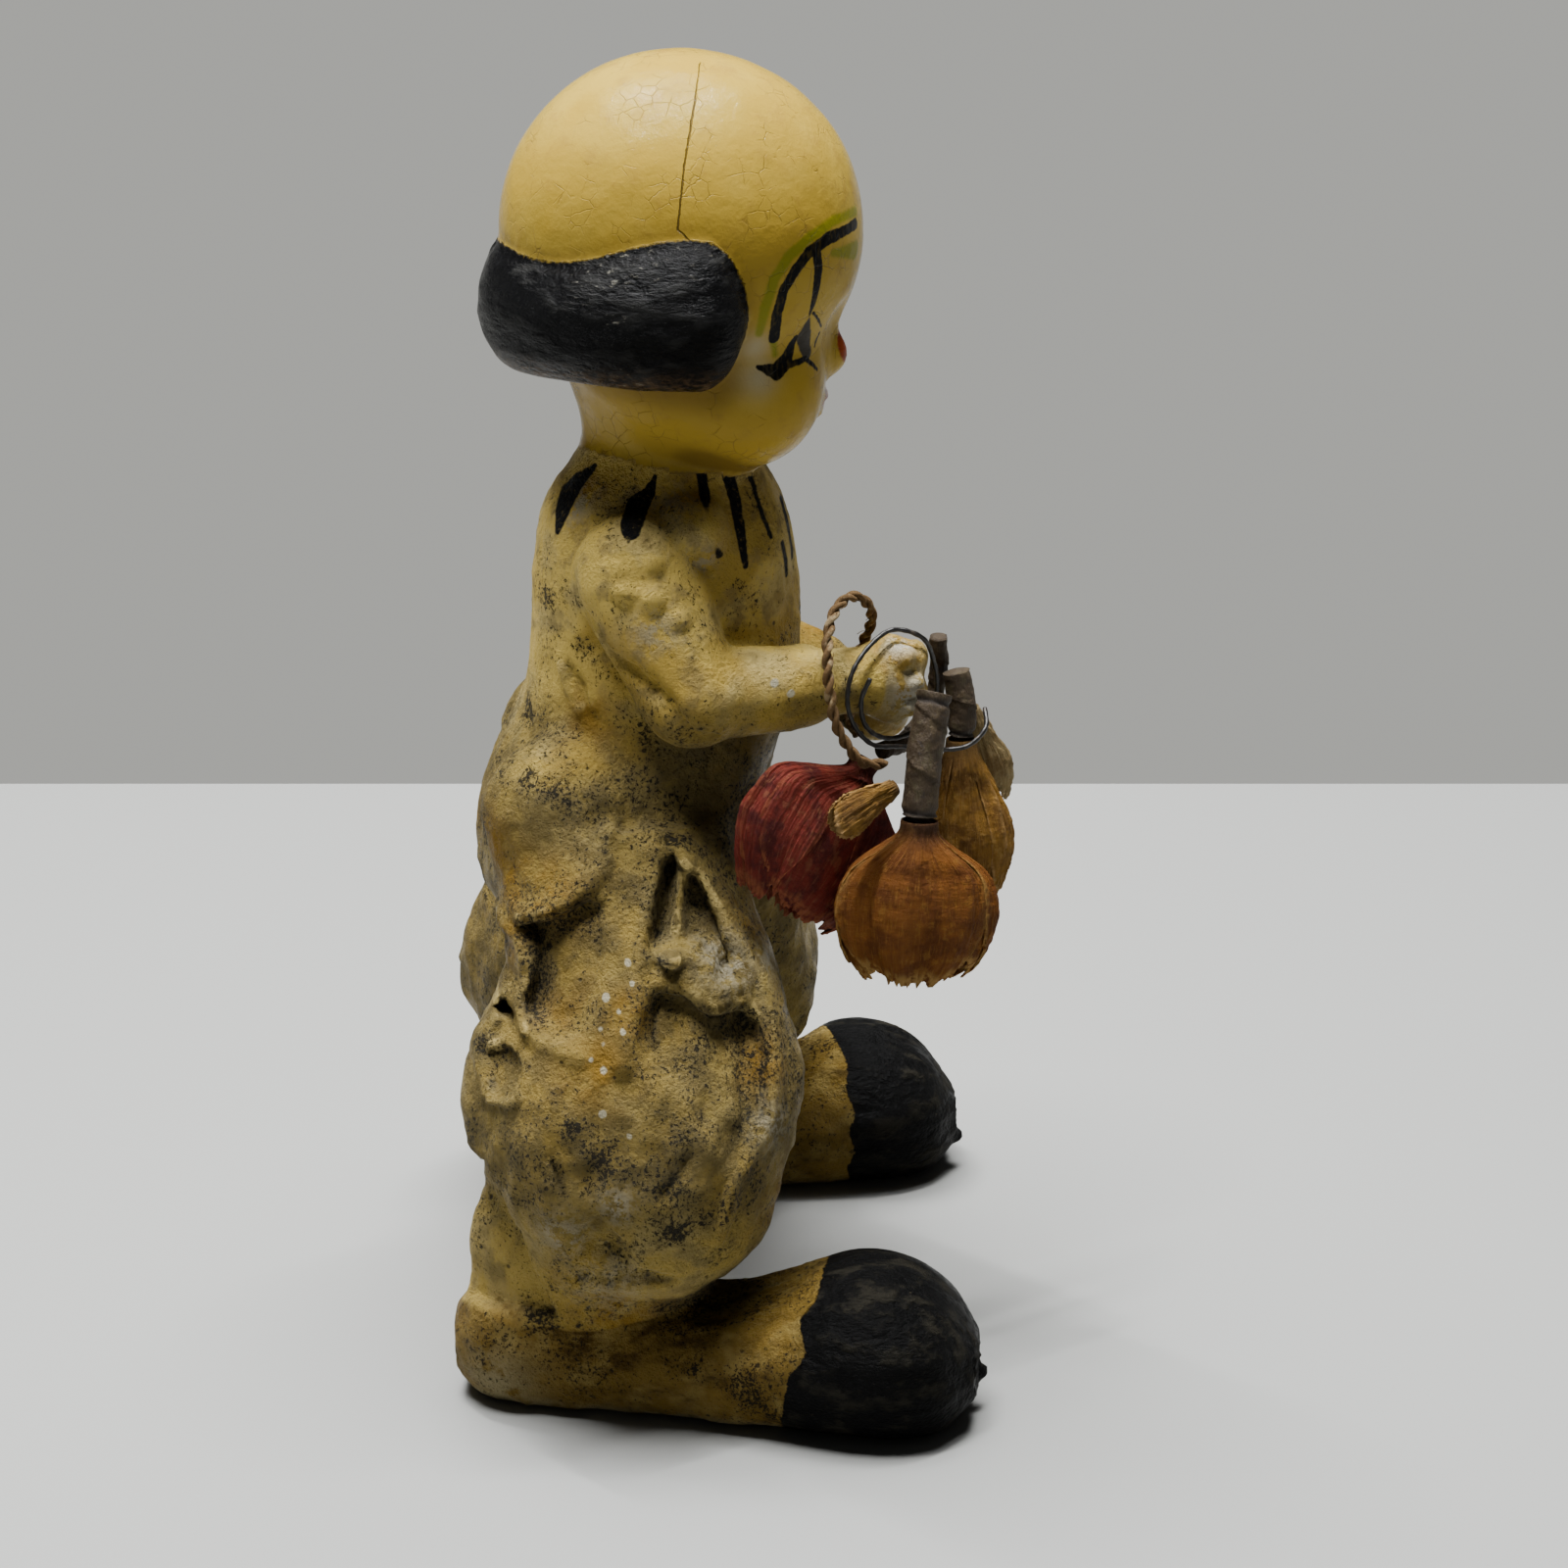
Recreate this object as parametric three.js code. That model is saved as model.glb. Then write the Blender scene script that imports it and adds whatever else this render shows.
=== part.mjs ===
// A papier-mache clown that stands with its feet apart and holds a small bunch of crepe paper flowers.
// Millimetres, +Z up. The clown faces -Y, its right side is at -X, and its soles stand on Z = 0.
import * as THREE from 'three';

// Driving dimensions of the clown.
const TOTAL_HEIGHT = 199;          // from the soles to the top of the bald head
const CRANIUM_RADIUS = 26.4;
const HEAD_Y = 4.8;                // the head's axis, forward or back of the origin
const NECK_Z = 136;
const SHOULDER_Z = 124;
const SHOULDER_X = 18.5;
const HEEL_X = 36.4;               // the feet splay outwards from heel to toe
const TOE_X = 46.6;
const HEEL_Y = 39.3;
const TOE_Y = -39.4;
const RIGHT = -1;
const LEFT = 1;
const CRANIUM_Z = TOTAL_HEIGHT - CRANIUM_RADIUS;

// How finely the clown is sampled, and how many triangles it keeps.
const CELL = 1.8;
const SAMPLED_BOX = { low: [-65, -43, -0.9], high: [65, 49, 201] };
const FIGURE_TRIANGLES = 6180;
const FACE_WEIGHT = 6;             // small forms of the face keep more triangles than the rest

// Distances to simple forms, below zero inside.
const length = (...v) => Math.hypot(...v);
const mix = (a, b, t) => a + (b - a) * t;
const clamp01 = (t) => Math.min(1, Math.max(0, t));
const smooth = (t) => t * t * (3 - 2 * t);

function ellipsoid([cx, cy, cz], [rx, ry, rz]) {
  return (x, y, z) => {
    const [dx, dy, dz] = [x - cx, y - cy, z - cz];
    const near = length(dx / rx, dy / ry, dz / rz);
    const far = length(dx / (rx * rx), dy / (ry * ry), dz / (rz * rz));
    return far < 1e-9 ? -Math.min(rx, ry, rz) : near * (near - 1) / far;
  };
}

// A limb: a straight rod whose radius changes from ra at a to rb at b.
function limb(a, b, ra, rb = ra) {
  const d = [b[0] - a[0], b[1] - a[1], b[2] - a[2]];
  const dd = d[0] * d[0] + d[1] * d[1] + d[2] * d[2];
  return (x, y, z) => {
    const [px, py, pz] = [x - a[0], y - a[1], z - a[2]];
    const t = clamp01((px * d[0] + py * d[1] + pz * d[2]) / dd);
    return length(px - d[0] * t, py - d[1] * t, pz - d[2] * t) - mix(ra, rb, t);
  };
}

// The rows' values at any place along them, on a smooth curve through every row.
function smoothRows(rows) {
  const slope = rows.map((row, i) => {
    const [before, after] = [rows[Math.max(0, i - 1)], rows[Math.min(rows.length - 1, i + 1)]];
    return row.map((_, k) => (after[k] - before[k]) / (after[0] - before[0]));
  });
  return (at) => {
    let i = 0;
    while (i < rows.length - 2 && at > rows[i + 1][0]) i += 1;
    const span = rows[i + 1][0] - rows[i][0];
    const t = clamp01((at - rows[i][0]) / span);
    const [t2, t3] = [t * t, t * t * t];
    return rows[i].map((v, k) => (2 * t3 - 3 * t2 + 1) * v + (t3 - 2 * t2 + t) * span * slope[i][k]
      + (3 * t2 - 2 * t3) * rows[i + 1][k] + (t3 - t2) * span * slope[i + 1][k]);
  };
}

// A hollow shape in the round: ovals stacked up Z, each row [z, centre x, centre y, half width,
// half depth]. The ovals are squarer as square rises above 2, with soft pleats where pleat is above zero.
function garment(rows, { square = 2.4, pleat = 0, pleats = 6, turn = 0 } = {}) {
  const [low, high] = [rows[0][0], rows[rows.length - 1][0]];
  const rowAt = smoothRows(rows);
  return (x, y, z) => {
    const zc = Math.min(high, Math.max(low, z));
    const [, cx, cy, hx, hy] = rowAt(zc);
    const [dx, dy] = [(x - cx) / hx, (y - cy) / hy];
    const inMiddle = Math.sin(Math.PI * (zc - low) / (high - low));
    const size = 1 + (pleat > 0 ? pleat * inMiddle * Math.cos(pleats * Math.atan2(dy, dx) + turn) : 0);
    const around = Math.pow(Math.pow(Math.abs(dx), square) + Math.pow(Math.abs(dy), square), 1 / square);
    const side = (around - size) * Math.min(hx, hy);
    const end = Math.abs(z - zc);
    return side > 0 ? length(side, end) : Math.max(side, end > 0 ? end : side);
  };
}

// Forms are added or cut away one after another, each blended over its own reach.
function blendMin(a, b, reach) {
  const h = Math.max(reach - Math.abs(a - b), 0) / reach;
  return Math.min(a, b) - h * h * reach / 4;
}
const add = (form, reach) => ({ form, reach, cut: false });
const cut = (form, reach) => ({ form, reach, cut: true });

function evaluate(steps, x, y, z, start = 1e3) {
  let d = start;
  for (const step of steps) {
    const f = step.form(x, y, z);
    d = step.cut ? -blendMin(-d, f, step.reach) : blendMin(d, f, step.reach);
  }
  return d;
}

// The head: a round skull over a small chubby face.
function head() {
  const steps = [
    add(ellipsoid([0, HEAD_Y, CRANIUM_Z], [25.8, CRANIUM_RADIUS + 0.8, CRANIUM_RADIUS]), 1),
    add(ellipsoid([0, 1.6, 151.4], [19.4, 18, 14.4]), 7),
    add(ellipsoid([0, -16.2, 153.8], [3.2, 3.8, 3.6]), 2),
    add(ellipsoid([0, -15.2, 147.4], [4.6, 2, 1.1]), 1.4),
    add(ellipsoid([0, -14.6, 145.2], [3.6, 2, 1.1]), 1.2),
    add(limb([0, 8.1, 147], [0, 7.2, NECK_Z - 3], 11.6, 13.4), 4),
  ];
  for (const side of [RIGHT, LEFT]) {
    steps.push(add(ellipsoid([side * 8.8, -5.4, 149], [9.6, 9.6, 9.6]), 5));
    steps.push(cut(ellipsoid([side * 7.4, -20.8, 158.4], [4.6, 3.4, 3.6]), 3));
  }
  return steps;
}

// The hair: a thick roll that wraps round the back of the head from ear to ear.
function hairRoll() {
  const reach = THREE.MathUtils.degToRad(97);
  return (x, y, z) => {
    const turn = Math.atan2(x, y - HEAD_Y);
    const on = Math.min(reach, Math.max(-reach, turn));
    const toSide = smooth(clamp01(Math.abs(on) / (0.5 * Math.PI)));
    const wave = Math.sin(4.4 * Math.abs(on) + 1.2 + 0.5 * Math.sign(on));
    const path = mix(25.2, 23.4, toSide);
    const thick = mix(5.2, 7.2, toSide);
    const tall = mix(8.6, 10.6, toSide) + 0.7 * wave;
    const level = mix(161.9, 164.1, toSide) + 0.5 * wave;
    const radial = length(x, y - HEAD_Y);
    const past = radial * Math.sin(Math.min(Math.abs(turn - on), 0.5 * Math.PI));
    const near = length((radial * Math.cos(turn - on) - path) / thick, (z - level) / tall, past / 7);
    return (near - 1) * thick;
  };
}

// The smock: narrow sloping shoulders over wide full hips.
function smock() {
  return garment([
    [66, 0, 16, 24, 15], [74, 0, 16.6, 28, 20], [82, 0, 15.6, 28.4, 21.4], [90, 0, 13.2, 26, 21.8],
    [100, 0, 9.2, 22.2, 20.6], [112, 0, 7.7, 21, 20.6], [122, 0, 7.7, 21.2, 20], [130, 0, 7.8, 19, 18.4],
    [136, 0, 7.4, 15, 15], [140, 0, 7.4, 12.4, 12.4],
  ]);
}

// The sleeves and hands. The right forearm is level, and the left arm reaches lower to the same bunch.
function arms() {
  const rightElbow = [-26.2, 3.2, 108];
  const leftElbow = [25, -5.5, 99.5];
  return [
    add(limb([-SHOULDER_X - 0.7, 11.5, SHOULDER_Z + 0.5], rightElbow, 9.1, 7.6), 1.8),
    add(limb(rightElbow, [-19.6, -12.9, 107.4], 6.9, 6.2), 1.5),
    add(limb([-19.2, -12, 107.4], [-16.2, -23, 107.4], 5), 0.8),
    add(ellipsoid([-15.2, -26.4, 107.2], [5.4, 5.2, 6.9]), 1.6),
    add(ellipsoid([-14.6, -30.2, 110.4], [3.6, 2, 2.6]), 0.8),
    add(ellipsoid([-14.6, -30.2, 105], [3.4, 2, 2.4]), 0.8),
    add(limb([SHOULDER_X + 0.4, 8, SHOULDER_Z], leftElbow, 9, 8), 2),
    add(limb(leftElbow, [18.4, -15.6, 97.4], 7.6, 6.6), 1.5),
    add(limb([18, -15, 97], [12.6, -22, 95.6], 4.9), 0.8),
    add(ellipsoid([10.5, -25.2, 95.2], [5.2, 5.2, 6]), 1.6),
  ];
}

// The baggy trouser legs, as ovals from the hem up into the smock.
const LEG_ROWS = {
  [RIGHT]: [
    [19, -38.6, 13.6, 10, 11.4], [24, -38.8, 12.6, 15.6, 16.6], [29, -38.2, 11.8, 18.4, 19.6],
    [35, -37.4, 12, 20.6, 21.6], [43, -35.4, 12.4, 22.2, 23.9], [52, -32.4, 11.9, 22.8, 25],
    [60, -29.4, 11.4, 22.2, 22.2], [67, -26.4, 11.2, 21, 19.6], [76, -21.6, 13.2, 19, 18.6],
    [88, -15, 15, 17, 17],
  ],
  [LEFT]: [
    [19, 38.6, 15, 10, 14], [24, 38.8, 13.8, 15.6, 22], [29, 38.2, 13.4, 18.8, 26.6],
    [35, 37.6, 13.5, 21.2, 29.2], [43, 36, 13.6, 22.6, 29.6], [52, 33, 13.3, 23, 27.2],
    [60, 30, 12.8, 22.4, 23.8], [67, 27, 12.6, 21, 20.6], [76, 22, 14, 19, 19], [88, 15, 15, 17, 17],
  ],
};

// The shoe is a thick slab from heel to a bulging toe, splayed outwards. Its rows run from the
// back of the heel: [along, off the middle line, middle height, half width, half height].
const SHOE_ROWS = [
  [0, 0, 8, 4, 5.2], [4, 0, 9, 8.4, 9], [12, 0, 9.6, 10, 10.4], [26, 0, 9.2, 10.8, 10],
  [40, 0, 8.2, 12, 9.2], [50, 0.4, 9.6, 13.6, 10.4], [60, 1, 11.6, 15.2, 12.4],
  [68, 1.2, 11.4, 14.8, 12.4], [75, 1, 10, 11.6, 10], [79.6, 0.4, 8.8, 5.6, 5],
];

function shoe(side) {
  const slab = garment(SHOE_ROWS, { square: 2.5 });
  const heel = [side * HEEL_X, HEEL_Y];
  const turn = Math.atan2(side * (TOE_X - HEEL_X), HEEL_Y - TOE_Y);
  const [c, s] = [Math.cos(turn), Math.sin(turn)];
  return (x, y, z) => {
    const [dx, dy] = [x - heel[0], y - heel[1]];
    return slab(side * (dx * c + dy * s), z, dx * s - dy * c);
  };
}

function legAndShoe(side) {
  const leg = garment(LEG_ROWS[side], { square: 2.3, pleat: 0.03, pleats: 7, turn: 1.1 + 0.8 * side });
  return [
    add(leg, 4),
    add(ellipsoid([side * 38, 17.5, 24], [12.8, 18.4, 15]), 2),
    add(limb([side * 37.6, 25.6, 33], [side * 37, 28.6, 11], 9, 10), 2),
    add(shoe(side), 2),
  ];
}

const BASE = [
  ...head(),
  add(hairRoll(), 0.6),
  add(smock(), 2),
  ...legAndShoe(RIGHT),
  ...legAndShoe(LEFT),
  ...arms(),
];

// The deep stiffened folds of a trouser leg, drawn in (y, z) as they are seen square from the side.
const HIP_RIM = [[29.1, 76.2], [25.4, 78], [21.9, 79.9], [18.9, 81.7], [16.8, 83.8], [16, 86.7], [15.6, 88.9]];
const BACK_EDGE = [[31.7, 73.7], [29.6, 73.3], [28.4, 70.7], [28.3, 67.3], [29.5, 65], [28.2, 63.1]];
const LEDGE = [[28.1, 62.1], [26.5, 61.9], [22.9, 61.4], [19.9, 60.7], [17.7, 60.6]];
const LONG_FOLD = [
  [9.4, 86.6], [8.4, 85.1], [8.7, 82.6], [9.8, 79.8], [10.4, 76.6], [11.3, 73.5], [11.6, 69.9],
  [11.8, 67.1], [12.5, 63.5], [13.1, 59.8],
];
const FRONT_FOLD = [
  [4.6, 85.5], [3.3, 84.5], [1.2, 81.8], [-1, 78.3], [-3.1, 74.9], [-5.3, 71.6], [-7.4, 68.1], [-8.6, 65.1],
  [-8.9, 61.8], [-9.6, 57.8], [-9.3, 52.6], [-8.6, 48.7], [-6.2, 45.4], [-3.6, 42.1], [-2.4, 38.1], [-0.7, 33.9],
];
const WAVY_LIP = [
  [9.9, 73.3], [7.4, 73.5], [4.8, 73], [1.9, 72.4], [0.2, 71.5], [-0.4, 70.5], [0.5, 69.7], [-0.2, 68.4],
  [-2.3, 68.2], [-4.9, 67.6],
];
const TUCKED_FOLD = [[4.6, 83.6], [5.1, 80.2], [5.6, 76.4], [5.9, 73.4]];
const BACK_PANEL = [
  [28.9, 75.7], [25, 77.6], [21.5, 79.6], [18.5, 81.2], [15.9, 80.2], [14.9, 79.1], [15, 75.9], [14.7, 72],
  [15.3, 69.2], [16.6, 66.4], [17.8, 63.9], [18.6, 61.7], [21.1, 61.5], [23.8, 62.1], [26.5, 62.2],
  [28.1, 62.5], [28.2, 64.3], [27.2, 68.3], [27.4, 72.1], [28.9, 74.5],
];
const DARK_RECESS = [
  [7.5, 85], [5.8, 85.7], [3.9, 84.7], [2.2, 82.4], [0.3, 78.8], [-1.6, 74.8], [-3.1, 71.7], [-3.8, 68.8],
  [-2.3, 68.2], [-0.7, 68.3], [0.6, 69.9], [-0.2, 71], [0.6, 71.7], [4.8, 73.1], [7.4, 73.5], [9.9, 73.3],
  [9.4, 76.6], [8.6, 80.1], [7.7, 82.9],
];
const LOWER_RECESS = [
  [10.4, 66.4], [9.4, 69.3], [7.3, 69.8], [4.8, 69.1], [3.1, 68.7], [1.4, 67.1], [-0.3, 65.8], [-2.8, 65.8],
  [-5.3, 64.6], [-7.2, 61.9], [-8.3, 58], [-8.5, 53.7], [-7.7, 50], [-5.8, 47], [-3.2, 43.7], [-1.1, 43.6],
  [0.5, 46.7], [2, 50.2], [3.8, 53.5], [6.4, 56.2], [9.3, 58.7], [11.2, 61.3], [11, 63.9],
];
const BEHIND_HEM = [
  [33.2, 42.3], [31.9, 39.6], [30.6, 36.8], [29.3, 34.5], [28.3, 31.7], [26.9, 26.7], [25.2, 23.8],
  [23.6, 20.9], [23, 17], [45, 17], [45, 42.3],
];
const HEM_ARCH = [
  [20.6, 33.9], [20.1, 37.4], [18.2, 39.2], [16.1, 39.3], [14, 37.7], [11.5, 34.2], [9.5, 31.1], [7.4, 29.2],
  [4.9, 28.1], [4, 25.4], [21.4, 25.4],
];
const ANKLE = [[16.6, 29.4], [12.6, 29]];

// How far (y, z) lies from the nearest side of an outline or line, and below zero inside an outline.
function gapTo(points, closed, y, z) {
  let best = Infinity;
  let inside = false;
  for (let i = closed ? 0 : 1; i < points.length; i += 1) {
    const [[ay, az], [by, bz]] = [points[(i + points.length - 1) % points.length], points[i]];
    const [ey, ez, wy, wz] = [by - ay, bz - az, y - ay, z - az];
    const t = clamp01((wy * ey + wz * ez) / (ey * ey + ez * ez));
    best = Math.min(best, length(wy - ey * t, wz - ez * t));
    if ((az > z) !== (bz > z) && y < ay + (z - az) * ey / ez) inside = !inside;
  }
  return closed && inside ? -best : best;
}
const pressed = (outline, soft, depth) => (y, z) => (
  -depth(y, z) * smooth(clamp01(-gapTo(outline, true, y, z) / soft))
);
const raised = (line, width, height) => (y, z) => height * smooth(clamp01(1 - gapTo(line, false, y, z) / width));

// The dark recess is deepest beside the long fold, and the lower one under the wavy lip.
const deepBesideFold = (y, z) => {
  const [front, back] = [4 - 0.5 * (85 - z), 7.8 + 0.15 * (85 - z)];
  return mix(2.4, 6.4, smooth(clamp01((y - front) / (back - front))));
};
const deepUnderLip = (y, z) => mix(1, 5, smooth(clamp01((z - 46) / 21)));
const FOLDS = [
  pressed(BACK_PANEL, 2.6, () => 3.4),
  pressed(DARK_RECESS, 2.2, deepBesideFold),
  pressed(LOWER_RECESS, 2.8, deepUnderLip),
  pressed(BEHIND_HEM, 1.8, () => 1.7),
  pressed(HEM_ARCH, 2.2, () => 2.2),
  raised(HIP_RIM, 2.6, 1.4),
  raised(BACK_EDGE, 2.4, 1.2),
  raised(LEDGE, 2.4, 0.9),
  raised(LONG_FOLD, 3, 1.7),
  raised(FRONT_FOLD, 2.8, 1.4),
  raised(WAVY_LIP, 2.2, 0.8),
  raised(TUCKED_FOLD, 2.6, 3),
  raised(ANKLE, 5, 2.2),
];

// How far the folds stand out from the cloth at a point. They lie on the outer side of each leg.
function foldsAt(x, y, z) {
  if (z < 16 || z > 91) return 0;
  const legCentre = Math.min(38, 15 + 0.39 * (88 - z));
  const outward = smooth(clamp01((Math.abs(x) - legCentre) / 6));
  if (outward === 0) return 0;
  return outward * (x < 0 ? 1 : 0.7) * FOLDS.reduce((sum, fold) => sum + fold(y, z), 0);
}

const HIP_LOBES = [RIGHT, LEFT].map((side) => add(ellipsoid([side * 19.4, 21.6, 87], [11.6, 13.2, 12.8]), 2));
const CLOWN = [...BASE, ...HIP_LOBES];

function clownDistance(x, y, z) {
  return Math.max(evaluate(CLOWN, x, y, z) - foldsAt(x, y, z), -z);
}

// Puts every vertex that is near the ground exactly on it, so that the soles are flat.
function standOnGround({ vertices, triangles }) {
  const NEAR = 0.4;
  return { vertices: vertices.map(([x, y, z]) => [x, y, z < NEAR ? 0 : z]), triangles };
}

// Moves every vertex onto the surface itself, where the straight cuts of the sampled cubes missed it.
function settle({ vertices, triangles }, distance) {
  const STEP = 0.25;
  const MOST = 0.7;
  const settled = vertices.map((start) => {
    let p = start;
    for (let i = 0; i < 3; i += 1) {
      const d = distance(...p);
      const slope = [0, 1, 2].map((k) => distance(...p.map((v, axis) => (axis === k ? v + STEP : v))) - d);
      const size = Math.max(length(...slope), 1e-9);
      const move = Math.max(-MOST, Math.min(MOST, d * STEP / size));
      p = p.map((v, k) => v - move * slope[k] / size);
    }
    return p;
  });
  return { vertices: settled, triangles };
}

// Turns a distance into a closed mesh: every grid cube is split into six tetrahedra,
// and each is cut where the distance crosses zero.
function polygonise(distance, { low, high }, cell) {
  const count = low.map((v, k) => Math.ceil((high[k] - v) / cell) + 1);
  const at = (i, j, k) => (k * count[1] + j) * count[0] + i;
  const place = (n) => {
    const i = n % count[0];
    const j = Math.floor(n / count[0]) % count[1];
    const k = Math.floor(n / (count[0] * count[1]));
    return [low[0] + i * cell, low[1] + j * cell, low[2] + k * cell];
  };
  const values = new Float64Array(count[0] * count[1] * count[2]);
  for (let n = 0; n < values.length; n += 1) values[n] = distance(...place(n));

  const vertices = [];
  const triangles = [];
  const onEdge = new Map();
  const crossing = (a, b) => {
    const key = Math.min(a, b) * values.length + Math.max(a, b);
    if (!onEdge.has(key)) {
      const t = Math.min(0.97, Math.max(0.03, values[a] / (values[a] - values[b])));
      const [p, q] = [place(a), place(b)];
      onEdge.set(key, vertices.length);
      vertices.push(p.map((v, k) => mix(v, q[k], t)));
    }
    return onEdge.get(key);
  };
  const emit = (ids, inside) => {
    const [p, q, r] = ids.map((id) => vertices[id]);
    const u = q.map((v, k) => v - p[k]);
    const w = r.map((v, k) => v - p[k]);
    const normal = [u[1] * w[2] - u[2] * w[1], u[2] * w[0] - u[0] * w[2], u[0] * w[1] - u[1] * w[0]];
    const out = p.reduce((sum, v, k) => sum + (v - inside[k]) * normal[k], 0);
    triangles.push(out > 0 ? ids : [ids[0], ids[2], ids[1]]);
  };
  const orders = [[0, 1, 2], [0, 2, 1], [1, 0, 2], [1, 2, 0], [2, 0, 1], [2, 1, 0]];
  const stride = [1, count[0], count[0] * count[1]];
  for (let k = 0; k < count[2] - 1; k += 1) {
    for (let j = 0; j < count[1] - 1; j += 1) {
      for (let i = 0; i < count[0] - 1; i += 1) {
        for (const order of orders) {
          const tet = [at(i, j, k)];
          for (const axis of order) tet.push(tet[tet.length - 1] + stride[axis]);
          const inner = tet.filter((n) => values[n] < 0);
          const outer = tet.filter((n) => values[n] >= 0);
          if (inner.length === 0 || outer.length === 0) continue;
          const within = place(inner[0]);
          if (inner.length === 1) emit(outer.map((n) => crossing(inner[0], n)), within);
          if (outer.length === 1) emit(inner.map((n) => crossing(n, outer[0])), within);
          if (inner.length === 2) {
            const [a, b] = inner;
            const [c, d] = outer;
            const ring = [crossing(a, c), crossing(a, d), crossing(b, d), crossing(b, c)];
            emit([ring[0], ring[1], ring[2]], within);
            emit([ring[0], ring[2], ring[3]], within);
          }
        }
      }
    }
  }
  return { vertices, triangles };
}

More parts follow.
